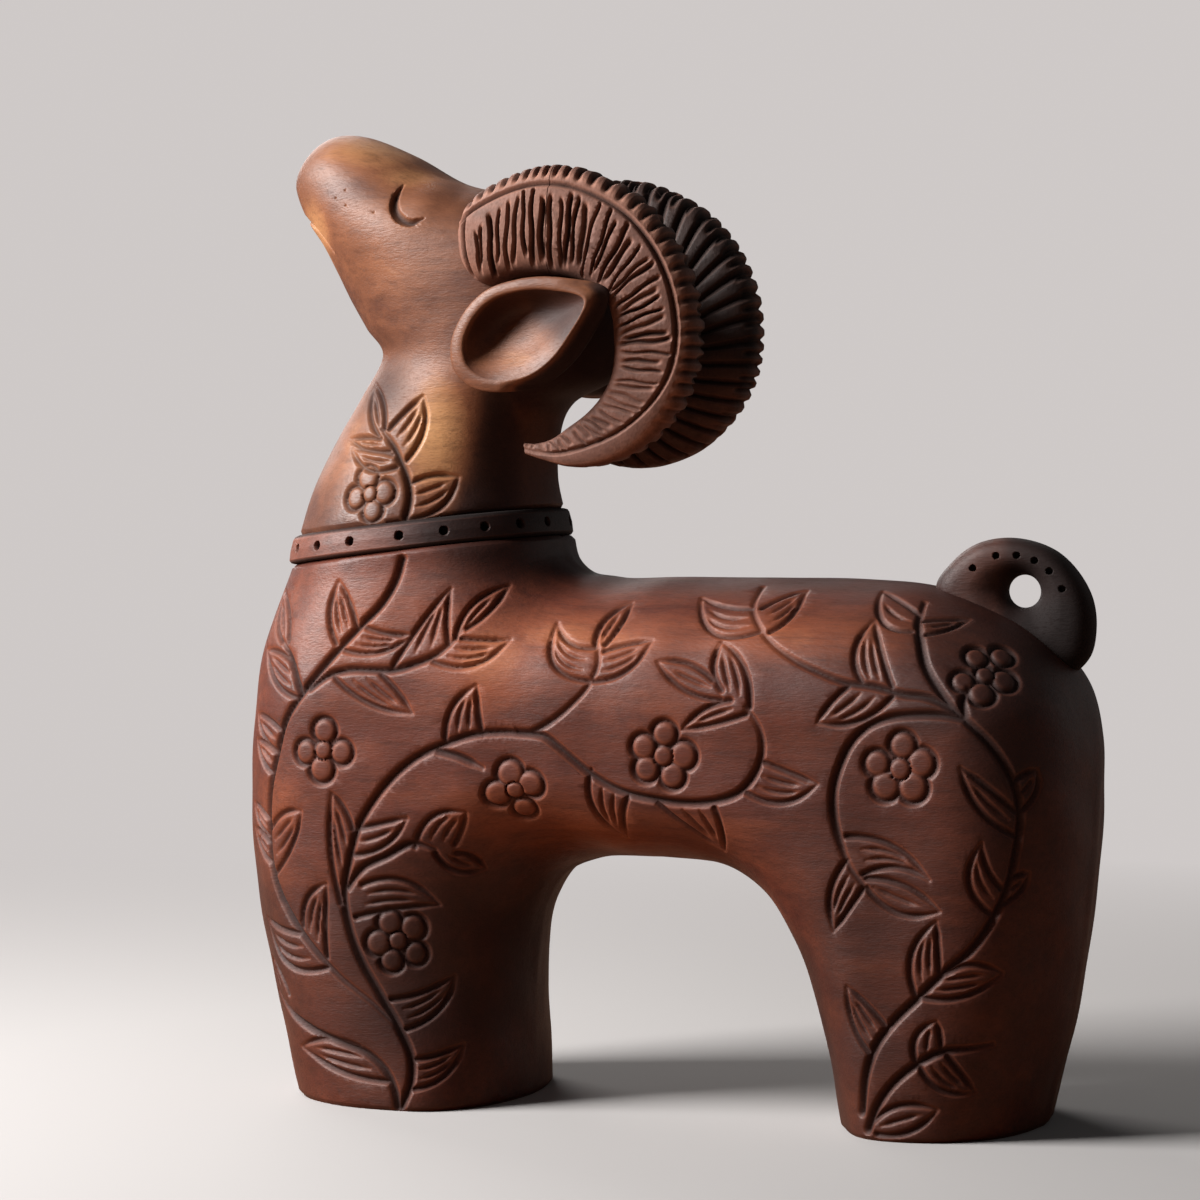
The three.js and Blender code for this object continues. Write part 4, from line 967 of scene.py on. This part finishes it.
# %% Horn form
# Outer edge in x and z, inner edge in x and z, distance from the centre plane and thickness at each station
HORN = np.array([
    (-57, 267, -57, 265.5, 29, 2), (-54.3, 275, -53.2, 257, 29, 16), (-48, 281.6, -47, 252.6, 29, 19),
    (-35, 287, -37, 255, 29.5, 20), (-23.7, 288.5, -25.4, 255.2, 30, 20), (-12, 286, -16.5, 253.5, 30, 20),
    (2, 278.5, -10.5, 250.8, 30, 20), (12.2, 267.5, -7.4, 247, 30, 19.5), (18.5, 255, -5.8, 241.5, 29.6, 19),
    (21, 243, -5.5, 236, 29, 18.5), (20.8, 231, -5.7, 230.5, 28.3, 18), (17.9, 220.7, -7.2, 224, 27.5, 17),
    (11.5, 210.8, -11, 218, 26.5, 16), (1.6, 202.3, -16.3, 213, 25.7, 14),
    (-10.6, 197.6, -22.4, 209, 25.2, 11.5), (-21.8, 197, -27.8, 205.6, 25, 8.5),
    (-30.3, 199, -32.9, 204.2, 25.3, 6), (-36.2, 200.9, -36.7, 204.3, 25.8, 4.5),
])
SPLICE_STATION, HORN_SQUARENESS, HORN_STEPS = 4, 3, 260


def horn_form(first, last, rows):
    """Grid of the left horn from one station to another: a squarish oval between outer and inner edge, with
    the middle length, the radial place (1 at the outer edge), the facing (1 outward) and half the radial
    width."""
    dense = np.linspace(0, len(HORN) - 1, FINE)
    form = by_station(HORN, dense)
    run = length_along((form[:, 0:2] + form[:, 2:4]) / 2)
    want = np.linspace(np.interp(first, dense, run), np.interp(last, dense, run), rows)
    row = by_station(HORN, np.interp(want, run, dense))
    turn = np.linspace(0, 2 * np.pi, HORN_STEPS, endpoint=False)
    radial, facing = squared(np.cos(turn), HORN_SQUARENESS), squared(np.sin(turn), HORN_SQUARENESS)
    middle, arm = (row[:, 0:2] + row[:, 2:4]) / 2, (row[:, 0:2] - row[:, 2:4]) / 2
    flat = middle[:, None] + arm[:, None] * radial[None, :, None]
    side = -row[:, 4:5] - np.maximum(row[:, 5:6], 0.4) / 2 * facing[None]
    grid = np.stack([flat[..., 0], side, flat[..., 1]], -1)
    spread = np.broadcast_to(want[:, None], grid.shape[:2])
    reach = np.broadcast_to(np.linalg.norm(arm, axis=1)[:, None], grid.shape[:2])
    return grid, spread, np.broadcast_to(radial, spread.shape), np.broadcast_to(facing, spread.shape), reach


print(len(HORN), "horn stations, spliced at number", SPLICE_STATION)

# %% [markdown]
# ## Cuts on the horns
# A carver nicks these ribs by eye, so no two match. Each rib gets its own place, slant, bend, length and
# depth from a seeded draw, while rim groove, notches and teeth follow even beats that sway a little.


# %% Cuts on the horns
RIM_AT, RIM_HALF_WIDTH, RIM_DEPTH = 0.62, 1.2, 1.3
RIB_PITCH, RIBS_END, TOOTH_PITCH, NOTCH_PITCH = 2.9, 205, 5.2, 3.5
ROOT_GROOVE, ROOT_HALF_WIDTH = 4.5, 1.1
NOTCH_DEPTH, TOOTH_DEPTH = 1.4, 1.6


def beat(run, half_share):
    """A V cut at every whole number of a running count: 1 on it, 0 from a share of the count away."""
    return np.clip(1 - np.abs(run - np.round(run)) / half_share, 0, 1)


def horn_cuts(spread, radial, facing, reach):
    """Depth of all the cuts on a horn: on the outer face the rim groove, ribs inside it and notches outside
    it, on the inner face and the back edge coarse teeth."""
    draw = np.random.default_rng(31)
    outward = smoothstep(0.5, 0.75, facing)
    rim_at = RIM_AT - 0.6 * smoothstep(85, 140, spread)
    rim = RIM_DEPTH * np.clip(1 - np.abs(radial - rim_at) * reach / RIM_HALF_WIDTH, 0, 1) ** 0.9
    off_root = np.abs(spread - ROOT_GROOVE - 2 * radial**2)
    start = RIM_DEPTH * np.clip(1 - off_root / ROOT_HALF_WIDTH, 0, 1) * (radial < rim_at)
    ribs = np.zeros(spread.shape)
    for place in np.arange(ROOT_GROOVE + 4, RIBS_END, RIB_PITCH):
        at = place + draw.uniform(-0.7, 0.7)
        slant, bend = draw.uniform(-1.2, 1.2), draw.uniform(-1.2, 1.2)
        top = RIM_AT - draw.uniform(0.05, 0.3) - 0.5 * max(0, 1 - (place - ROOT_GROOVE) / 16)
        bottom = -0.85 + draw.uniform(-0.12, 0.22)
        deep, half = draw.uniform(1.2, 2.1), draw.uniform(0.6, 1.05)
        line = at + slant * radial + bend * radial**2 + 0.25 * np.sin(7 * radial + at)
        inside = smoothstep(top + 0.08, top - 0.1, radial + RIM_AT - rim_at)
        inside = inside * smoothstep(bottom - 0.12, bottom + 0.16, radial)
        wider = half * (1.05 - 0.3 * radial)
        ribs = np.maximum(ribs, deep * np.clip(1 - np.abs(spread - line) / wider, 0, 1) ** 0.65 * inside)
    ribs *= 0.5 + 0.5 * smoothstep(125, 60, spread)
    notch = beat((spread + 0.5 * np.sin(spread / 5)) / NOTCH_PITCH, 0.32) * smoothstep(0.68, 0.88, radial)
    notch *= smoothstep(122, 98, spread)
    tooth = beat((spread + 0.6 * np.sin(spread / 9)) / TOOTH_PITCH, 0.27) * smoothstep(0.35, -0.1, facing)
    tooth *= smoothstep(-0.99, -0.8, radial)
    cuts = [rim * outward, start * outward, ribs * outward, NOTCH_DEPTH * notch, TOOTH_DEPTH * tooth]
    return np.maximum.reduce(cuts) * (0.35 + 0.65 * smoothstep(2.5, 6, reach))


def horn_piece(name, first, last, rows):
    """One length of the left horn with its cuts taken off along the normal."""
    grid, spread, radial, facing, reach = horn_form(first, last, rows)
    depth = horn_cuts(spread, radial, facing, reach)
    normal = normals_of(grid, wrap=True, away=facing[..., None] * [0, -1, 0])
    # Painted shade on the inner face and back edge, which turn from the lamp, weaker toward the bottom. On
    # the outer face wear at the root and along the rim, where it is also a painted highlight on the bead
    shade = smoothstep(0.2, -0.6, facing) * (1 - 0.55 * smoothstep(240, 205, grid[..., 2]))
    face = smoothstep(0.55, 0.9, facing)
    rim_wear_and_highlight = 0.85 * np.exp(-((radial - 0.82) / 0.14) ** 2)
    wear_and_light = face * np.maximum(rim_wear_and_highlight, 0.45 * smoothstep(60, 15, spread))
    return loft_piece(name, grid - depth[..., None] * normal, {
        "groove": depth / DEEPEST, "stain_and_shade": shade, "wear_and_light": wear_and_light,
    })


SPLICE_GAP, HORN_TRIANGLES = 0.012, 180_000
horn_root = horn_piece("left_horn_base", 0, SPLICE_STATION - SPLICE_GAP, 200)
horn_curl = horn_piece("left_horn_length", SPLICE_STATION + SPLICE_GAP, len(HORN) - 1, 520)
thin_out(horn_curl, HORN_TRIANGLES)
horn_root_right = mirror_piece(horn_root, "right_horn_base")
horn_curl_right = mirror_piece(horn_curl, "right_horn_length")
print("horn ribs every", RIB_PITCH, "mm, teeth every", TOOTH_PITCH, "mm")

# %% [markdown]
# ## Ears
# An ear is a small dish: a smooth rim, a hollow inside it that is deepest under its upper edge and runs
# out downward, and a rounded back let into the head. On the side away from the face the rim is shorn off.
# It is drawn as rings that shrink from the rim to the middle of the hollow and to the middle of the back.

# %% Ears
EAR_RIM = [
    (-5.5, 249.4), (-18, 252.9), (-32, 252.9), (-43.4, 249.5), (-51, 242.1), (-54.3, 234), (-53, 226.2),
    (-46.7, 221.4), (-36.9, 220.2), (-27.2, 222.2), (-19.1, 227.5), (-12, 236),
]
EAR_CENTRE = np.array([-33, 236])
EAR_OFFSET, EAR_TILT = 44, 0.06
EAR_LEE, EAR_SHEAR = np.array([0.86, -0.51]), 7
EAR_TIP, HOLLOW_RUN = np.array([0.62, 0.78]), np.array([0.5, -0.87])
HOLLOW_EDGE, HOLLOW_DEPTH = 0.82, 10.5
# Share of the rim's reach, and depth, from the lip of the hollow to the middle of the back
EAR_BACK = [
    (0.82, 0.5), (0.87, 0.2), (0.94, 0.5), (1, 3.2), (0.94, 7.5), (0.76, 13), (0.45, 17.5), (0.02, 19.5),
]
EAR_LIP = 0.5
# Centre and reach in mm of a painted pool of light on the floor of the hollow
LIT_SPOT, LIT_REACH = [-34, 230], [12, 8]
EAR_STEPS, HOLLOW_ROWS, BACK_ROWS = 260, 80, 80

rim = outline(EAR_RIM, EAR_STEPS, closed=True)
inward = np.linspace(0.02, 1, HOLLOW_ROWS, endpoint=False)
shell = outline(EAR_BACK, BACK_ROWS)
reach = np.append(HOLLOW_EDGE * inward, shell[:, 0])[:, None]
depth = np.append(np.zeros(HOLLOW_ROWS), shell[:, 1])[:, None]
spot = EAR_CENTRE + reach[..., None] * (rim - EAR_CENTRE)[None]
in_hollow = np.broadcast_to((np.arange(len(reach)) < HOLLOW_ROWS)[:, None], spot.shape[:2])
spoke = spot - EAR_CENTRE
tipward = smoothstep(-16, 14, spoke @ HOLLOW_RUN)
bowl = 1 - np.minimum(reach / HOLLOW_EDGE, 1) ** (5 - 3.4 * tipward)
heading = (rim - EAR_CENTRE) / np.linalg.norm(rim - EAR_CENTRE, axis=1, keepdims=True) @ EAR_LEE
shorn = EAR_SHEAR * smoothstep(0.15, 0.9, heading) * smoothstep(HOLLOW_EDGE, 1, reach)
dish = EAR_LIP + HOLLOW_DEPTH * (1.2 - tipward) * bowl
hollow = np.where(in_hollow, dish, depth + shorn * smoothstep(16, 4, depth))
print("ear hollow", round(float(hollow[in_hollow].max()), 1), "mm deep")

# %% Ear pieces
ear_side = EAR_OFFSET + EAR_TILT * (spot[..., 0] - EAR_CENTRE[0]) - hollow
ear_grid = np.stack([spot[..., 0], -ear_side, spot[..., 1]], -1)
# Painted light and shade on the ear: a painted shadow on the hollow's upper wall under the rim, painted
# shade on the back, the shorn side and toward the tip, painted light on the floor and on the rim
painted_wall_shadow = np.where(in_hollow, smoothstep(2, -12, spoke @ HOLLOW_RUN) * smoothstep(0.8, 2.5, hollow), 0)
painted_back_shade = np.where(in_hollow, 0, np.maximum(smoothstep(2, 9, depth), smoothstep(1, 4, shorn)))
painted_tip_shade = np.where(in_hollow, 0.9 * smoothstep(-1, 13, spoke @ EAR_TIP), 0)
painted_floor_light = np.exp(-(((spot - LIT_SPOT) / LIT_REACH) ** 2).sum(-1))
ear = loft_piece("left_ear_cup", ear_grid, {
    "groove": np.maximum.reduce([0.4 * painted_wall_shadow, 0.5 * painted_tip_shade, 0.95 * painted_back_shade]),
    "stain_and_shade": np.maximum.reduce([0.8 * painted_wall_shadow, painted_tip_shade, painted_back_shade]),
    "wear_and_light": np.where(in_hollow, 0.55 * painted_floor_light, 0.3 * (1 - painted_back_shade)),
})
ear_right = mirror_piece(ear, "right_ear_cup")
print("ears:", ear.name, "and", ear_right.name)

# %% [markdown]
# ## Tail
# The tail is a thick loop let into the corner of the rump. Its section is a rounded block between its
# outline and the edge of the eye, which opens like a funnel to both sides. An arc of small blind holes is
# drilled into each face.

# %% Tail
TAIL_OUTLINE = [
    (86.5, 161), (91.5, 168.5), (98.5, 173.7), (106.5, 175.7), (115, 175), (123, 171.8), (130, 165),
    (134, 157.3), (135, 149), (133, 140), (126.5, 134.5), (115.5, 137), (103, 144.5), (92, 152.5),
]
TAIL_EYE, TAIL_EYE_RADIUS = np.array([113.6, 159.8]), 4.9
TAIL_HALF_THICKNESS, TAIL_FACE = 7.5, 4
TAIL_SQUARENESS, TAIL_FUNNEL_SQUARENESS = 2.6, 1.7
TAIL_ROWS, TAIL_STEPS = 470, 200
TAIL_HOLE_ANGLES = np.radians(np.linspace(4, 154, 6))
TAIL_HOLE_REACH, TAIL_HOLE_RADIUS, TAIL_HOLE_DEPTH = 0.69, 1.0, 1.9

edge = outline(TAIL_OUTLINE, TAIL_ROWS, closed=True)
ray = (edge - TAIL_EYE) / np.linalg.norm(edge - TAIL_EYE, axis=1, keepdims=True)
inner = TAIL_EYE + TAIL_EYE_RADIUS * ray
turn = np.linspace(0, 2 * np.pi, TAIL_STEPS, endpoint=False)
corner = np.where(np.cos(turn) < 0, TAIL_FUNNEL_SQUARENESS, TAIL_SQUARENESS)
radial, facing = squared(np.cos(turn), corner), squared(np.sin(turn), corner)
flat = (edge + inner)[:, None] / 2 + (edge - inner)[:, None] / 2 * radial[None, :, None]
side = np.broadcast_to(TAIL_HALF_THICKNESS * facing, flat.shape[:2])
tail_grid = np.stack([flat[..., 0], side, flat[..., 1]], -1)
hole_rays = np.stack([np.cos(TAIL_HOLE_ANGLES), np.sin(TAIL_HOLE_ANGLES)], 1)
hole_edge = edge[np.argmax(hole_rays @ ray.T, axis=1)]
hole_spot = TAIL_EYE + TAIL_HOLE_REACH * (hole_edge - TAIL_EYE)
tail_points = tail_grid.reshape(-1, 3)
plan_gap = np.linalg.norm(tail_points[:, None, ::2] - hole_spot, axis=2).min(1)
tail_x, tail_y, tail_z = tail_points.T
on_face = np.abs(tail_y) > TAIL_FACE
drilled = TAIL_HOLE_DEPTH * smoothstep(1.15, 0.8, plan_gap / TAIL_HOLE_RADIUS) * on_face
sunk = tail_points - drilled[:, None] * [0, 1, 0] * np.sign(tail_y)[:, None]
# Painted shade toward the tail's right end, away from the lamp, in the groove and stain colours over an
# all-over dark stain, and a lighter band at x about 101 mm that is wear and painted light
painted_tail_shade = smoothstep(102, 118, tail_x) * (0.7 + 0.3 * smoothstep(166, 150, tail_z))
tail = loft_piece("tail", sunk.reshape(tail_grid.shape), {
    "groove": np.maximum(np.minimum(drilled, 1.0), painted_tail_shade),
    "stain_and_shade": 0.75 + 0.25 * smoothstep(95, 115, tail_x),
    "wear_and_light": 0.45 * np.exp(-((tail_x - 101) / 8) ** 2),
}, loop=True)
print("tail with", len(hole_spot), "holes on each face")

# %% [markdown]
# ## Node expressions
# A finish is a tree of shader nodes. So that it reads like a formula, one small class wraps a socket and
# turns arithmetic on it into Math nodes, and one method makes every other node from its type, settings
# and inputs.


# %% Node expressions
class Value:
    """A node's output socket. Adding to it, subtracting or multiplying makes a Math node."""

    def __init__(self, tree, socket):
        self.tree, self.socket = tree, socket

    def math(self, operation, left, right):
        """A Math node with the operation on two values."""
        return self.tree.node("ShaderNodeMath", {"operation": operation}, {0: left, 1: right})

    def __add__(self, other):
        return self.math("ADD", self, other)

    def __sub__(self, other):
        return self.math("SUBTRACT", self, other)

    def __rsub__(self, other):
        return self.math("SUBTRACT", other, self)

    def __mul__(self, other):
        return self.math("MULTIPLY", self, other)

    def at_most(self, other):
        """The smaller of two values."""
        return self.math("MINIMUM", self, other)

    __radd__, __rmul__ = __add__, __mul__


class Tree:
    """A node tree with one method that makes any node."""

    def __init__(self, owner):
        owner.use_nodes = True
        self.nodes, self.links = owner.node_tree.nodes, owner.node_tree.links
        self.nodes.clear()

    def node(self, kind, settings=None, inputs=None, output=0):
        """A node of the kind, its settings set first, then its inputs as values or links."""
        made = self.nodes.new(kind)
        for name, value in (settings or {}).items():
            setattr(made, name, value)
        for name, value in (inputs or {}).items():
            if isinstance(value, Value):
                self.links.new(value.socket, made.inputs[name])
            else:
                made.inputs[name].default_value = value
        return Value(self, made.outputs[output]) if made.outputs else None

    def mix(self, factor, first, second):
        """Colour between two colours."""
        inputs = {0: factor, 6: first, 7: second}
        return self.node("ShaderNodeMix", {"data_type": "RGBA"}, inputs, output=2)

    def attribute(self, name):
        """A value kept at the mesh's points."""
        return self.node("ShaderNodeAttribute", {"attribute_name": name}, output=2)

    def noise(self, stretch, scale, detail=3.0, roughness=0.55):
        """Noise on object coordinates, stretched along the axes."""
        place = self.node("ShaderNodeTexCoord", output=3)
        placed = self.node("ShaderNodeMapping", None, {"Vector": place, "Scale": stretch})
        inputs = {"Vector": placed, "Scale": scale, "Detail": detail, "Roughness": roughness}
        return self.node("ShaderNodeTexNoise", None, inputs)

    def fit(self, value, low, high):
        """The value from low to high, spread over 0 to 1 and clamped."""
        inputs = {"Value": value, "From Min": low, "From Max": high}
        return self.node("ShaderNodeMapRange", None, inputs)


print("Value has", len([n for n in vars(Value) if n.startswith("__")]), "special methods")

# %% [markdown]
# ## Waxed wood
# The wood is stained red-brown, rubbed back where hands and cloth reach, and waxed. Grain runs along the
# body as soft streaks with finer dark fibres. Wax and stain gather in the cuts, and the lips of the cuts
# are rubbed bright, which also paints a highlight on them. Painted shade darkens the wood where shade
# falls and painted light brightens it where the lamp falls, as each piece marks them. One function makes
# the finish from five colours, so that body, collar, horns and dowels belong together.


# %% Waxed wood
SHEEN = 0.33
FIBRE_RELIEF = 0.0004


def waxed_wood(name, gloss, grain, colours):
    """Wood from its groove, dark, middle, warm and light colours. Broad bands of grain and small mottles
    shift middle toward dark and warm. Places of stain and painted shade go to dark, places of wear and
    painted light go through warm to light, and the cuts go to the groove colour, below a shoulder that is
    rubbed and painted a little lighter as a highlight. Painted shade in the groove attribute goes to the
    groove colour too. Fine fibres darken and dent it all over."""
    finish = bpy.data.materials.new(name)
    tree = Tree(finish)
    deep, dark, middle, warm, light = ((*colour, 1.0) for colour in colours)
    groove, stain_and_shade, wear_and_light = (tree.attribute(label) for label in ("groove", "stain_and_shade", "wear_and_light"))
    band = tree.fit(tree.noise(grain, 1.0, 5.0, 0.62), 0.32, 0.7)
    mottle = tree.fit(tree.noise((110, 230, 230), 1.0, 6.0, 0.66), 0.32, 0.7)
    fibres = tree.noise((40 * grain[0], 22 * grain[1], 22 * grain[2]), 1.0, 3.0, 0.6)
    cloud = tree.fit(tree.noise((1, 1, 1), 24.0, 3.0), 0.3, 0.7)
    # Wear and painted light, with some cloud and grain in it
    rubbed_and_lit = wear_and_light + 0.25 * cloud + 0.15 * band + 0.1 * mottle
    # Share of the dark colour: stain and painted shade, with some cloud and grain in it
    kept = tree.fit(stain_and_shade + 0.3 * cloud - 0.15 * band, 0.25, 1.1)
    shoulder = tree.fit(groove, 0.0, 0.1) * (1 - tree.fit(groove, 0.12, 0.4))
    pore = tree.fit(fibres, 0.5, 0.68)
    streak = tree.fit(tree.noise(tuple(5 * s for s in grain), 1.0, 4.0, 0.6), 0.5, 0.72)
    colour = tree.mix(0.3 * band, middle, warm)
    colour = tree.mix(0.5 * (1 - mottle) * (1 - 0.5 * cloud), colour, dark)
    colour = tree.mix(0.85 * tree.fit(rubbed_and_lit, 0.3, 0.9), colour, warm)
    colour = tree.mix(0.85 * tree.fit(rubbed_and_lit, 0.75, 1.45), colour, light)
    colour = tree.mix(0.35 * streak, colour, dark)
    colour = tree.mix(0.9 * kept, colour, dark)
    colour = tree.mix(0.2 * pore, colour, deep)
    # The lips of the cuts go a little warmer: rubbed wood, and a painted highlight
    colour = tree.mix(0.3 * shoulder * (1 - 0.7 * kept), colour, warm)
    # Cuts, and the painted shade that head, ears and tail put into the groove attribute, take the groove
    # colour
    colour = tree.mix(0.85 * tree.fit(groove, 0.25, 0.95), colour, deep)
    rough = gloss + 0.1 * cloud + 0.1 * pore - 0.04 * rubbed_and_lit + 0.3 * groove.at_most(1.0)
    relief = {"Height": fibres + 0.7 * mottle, "Strength": 0.28, "Distance": FIBRE_RELIEF}
    bump = tree.node("ShaderNodeBump", None, relief)
    shader = tree.node("ShaderNodeBsdfPrincipled", None, {
        "Base Color": colour, "Roughness": rough, "Normal": bump, "Specular IOR Level": SHEEN,
    })
    tree.node("ShaderNodeOutputMaterial", None, {"Surface": shader})
    return finish


# Gloss, stretch of the grain, and the groove, dark, middle, warm and light colours
FINISHES = {
    "oiled_wood": (0.45, (10, 90, 90), [
        (0.015, 0.0042, 0.0028), (0.026, 0.008, 0.0056), (0.096, 0.0225, 0.0135),
        (0.27, 0.074, 0.031), (0.58, 0.24, 0.11),
    ]),
    # Head and ears: greyer and less red than the body, partly a painted sheen
    "head_wood_and_sheen": (0.42, (10, 90, 90), [
        (0.016, 0.0048, 0.003), (0.028, 0.0085, 0.006), (0.1, 0.035, 0.021),
        (0.27, 0.104, 0.047), (0.56, 0.29, 0.125),
    ]),
    "shaded_wood": (0.5, (10, 90, 90), [
        (0.005, 0.0014, 0.001), (0.01, 0.0027, 0.002), (0.082, 0.0245, 0.0175),
        (0.22, 0.078, 0.05), (0.34, 0.14, 0.095),
    ]),
    "horn_wood": (0.6, (40, 60, 40), [
        (0.006, 0.0022, 0.0017), (0.011, 0.0047, 0.0037), (0.172, 0.075, 0.053),
        (0.285, 0.132, 0.089), (0.38, 0.19, 0.137),
    ]),
    "dowel_wood": (0.6, (60, 60, 12), [
        (0.3, 0.19, 0.1), (0.4, 0.27, 0.15), (0.55, 0.4, 0.24), (0.6, 0.44, 0.27), (0.66, 0.5, 0.32),
    ]),
}
finishes = {name: waxed_wood(name, *settings) for name, settings in FINISHES.items()}
print("finishes:", *finishes)

# %% [markdown]
# ## Pieces onto the frame
# Each carved skin takes the place of one solid of the frame and rides on the same body, so that the
# figure still comes apart as the CAD does; the table lists a slot beside each. Head and ears have a
# finish of their own, greyer and less red than the body's and partly a painted sheen, listed in the same
# slot. The dowels hide inside the glued joints, so their plain solids stay, in bare wood.

# %% Pieces onto the frame
# Piece, slot and finish for each node
PLACES = {
    "body_left_half": (body_left, "oiled_wood", "oiled_wood"),
    "body_right_half": (body_right, "oiled_wood", "oiled_wood"),
    "head_and_neck": (head, "oiled_wood", "head_wood_and_sheen"),
    "left_ear": (ear, "oiled_wood", "head_wood_and_sheen"),
    "right_ear": (ear_right, "oiled_wood", "head_wood_and_sheen"),
    "collar_band": (collar, "shaded_wood", "shaded_wood"),
    "tail_loop": (tail, "shaded_wood", "shaded_wood"),
    "left_horn_root": (horn_root, "horn_wood", "horn_wood"),
    "right_horn_root": (horn_root_right, "horn_wood", "horn_wood"),
    "left_horn_curl": (horn_curl, "horn_wood", "horn_wood"),
    "right_horn_curl": (horn_curl_right, "horn_wood", "horn_wood"),
}
for node, (piece, slot, finish) in PLACES.items():
    piece.data.materials.append(finishes[finish])
    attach(piece, "root")
    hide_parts(node)
    print(node, "has", triangle_count(piece.data), "of at most", TRIANGLE_LIMIT, "triangles")
dowels = [node for name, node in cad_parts.items() if "dowel" in name]
for dowel in dowels:
    dowel.data.materials.clear()
    dowel.data.materials.append(finishes["dowel_wood"])
print(len(dowels), "dowels stay as they are, in bare wood")

# %% [markdown]
# ## Floor and background
# The figure stands on a pale floor that runs out into a pale grey background. The camera sees the
# background as a plain glow, which lights nothing, so the figure's own light can stay low. Near the
# figure the floor is matte and keeps its shadow, and the light that it throws back is warmer and darker
# than it looks.

# %% Floor
FLOOR_REACH = 6.0
FLOOR_FADE = (0.25, 0.8)
FLOOR_SEEN, FLOOR_BOUNCE = (0.455, 0.435, 0.427, 1.0), (0.25, 0.125, 0.07, 1.0)
floor_mesh = bpy.data.meshes.new("floor")
corners = FLOOR_REACH * np.array([(-1, -1, 0), (1, -1, 0), (1, 1, 0), (-1, 1, 0)])
floor_mesh.from_pydata(corners.tolist(), [], [(0, 1, 2, 3)])
floor = bpy.data.objects.new("floor", floor_mesh)
scene.collection.objects.link(floor)

BACKGROUND = (0.62, 0.585, 0.575, 1.0)
RAY_KINDS = ("Camera", "Glossy", "Transmission")
MIRRORED = 0.1


def shown_ray(tree):
    """1 for rays that show the surroundings to the camera or through glass, less for mirrored ones, because
    a room is darker than its window. 0 for the rays that light."""
    camera, glossy, clear = (tree.node("ShaderNodeLightPath", output=f"Is {kind} Ray") for kind in RAY_KINDS)
    return (camera + MIRRORED * glossy + clear).at_most(1.0)


paper = bpy.data.materials.new("floor_paper")
tree = Tree(paper)
place = tree.node("ShaderNodeTexCoord", output=3)
far = tree.node("ShaderNodeVectorMath", {"operation": "LENGTH"}, {0: place}, output=1)
seen = shown_ray(tree)
tone = tree.mix(seen, FLOOR_BOUNCE, FLOOR_SEEN)
matte = tree.node("ShaderNodeBsdfDiffuse", None, {"Color": tone})
glow = tree.node("ShaderNodeEmission", None, {"Color": BACKGROUND, "Strength": 1.0})
fade = tree.fit(far, *FLOOR_FADE) * seen
blend = tree.node("ShaderNodeMixShader", None, {0: fade, 1: matte, 2: glow})
tree.node("ShaderNodeOutputMaterial", None, {"Surface": blend})
floor_mesh.materials.append(paper)
print("floor fades out between", FLOOR_FADE, "m")

# %% [markdown]
# ## Lamps and daylight
# A soft lamp half a metre wide stands to the left and in front, as a window would, so that every cut
# shows one dark and one bright side. A weaker one behind keeps the far side readable, a faint one draws
# the edges that face away from the window, and the rest is even daylight.


# %% Lamps and daylight
def soft_lamp(name, place, size, power, colour):
    """A square area lamp that faces the middle of the figure."""
    data = bpy.data.lights.new(name, "AREA")
    data.size, data.energy, data.color = size, power, colour
    lamp = bpy.data.objects.new(name, data)
    lamp.location = place
    aim = (cad_low + cad_high) / 2 - lamp.location
    lamp.rotation_euler = aim.to_track_quat("-Z", "Y").to_euler()
    scene.collection.objects.link(lamp)
    print(name, round(aim.length, 2), "m away at", power, "W")


# Place, size, power and colour
LAMPS = {
    "window": ((-0.81, -0.51, 0.7), 0.5, 30, (1.0, 0.99, 0.98)),
    "back_fill": ((-1.0, 1.0, 0.9), 0.9, 13, (1.0, 0.98, 0.96)),
    "edge_light": ((1.1, 1.0, 0.5), 0.9, 0.7, (1.0, 0.97, 0.93)),
}
for name, settings in LAMPS.items():
    soft_lamp(name, *settings)

DAYLIGHT, DAYLIGHT_STRENGTH = (0.95, 0.97, 1.0, 1.0), 0.05
daylight = bpy.data.worlds.new("daylight")
scene.world = daylight
tree = Tree(daylight)
ambient = tree.node("ShaderNodeBackground", None, {"Color": DAYLIGHT, "Strength": DAYLIGHT_STRENGTH})
backdrop = tree.node("ShaderNodeBackground", None, {"Color": BACKGROUND, "Strength": 1.0})
sky = tree.node("ShaderNodeMixShader", None, {0: shown_ray(tree), 1: ambient, 2: backdrop})
tree.node("ShaderNodeOutputWorld", None, {"Surface": sky})
scene.view_settings.view_transform = "Standard"
print("world shows", BACKGROUND[:3])

# %% [markdown]
# ## Size
# The carved pieces are meant to stay in the frame's box. Only the frame's box is printed, in metres,
# after the import.
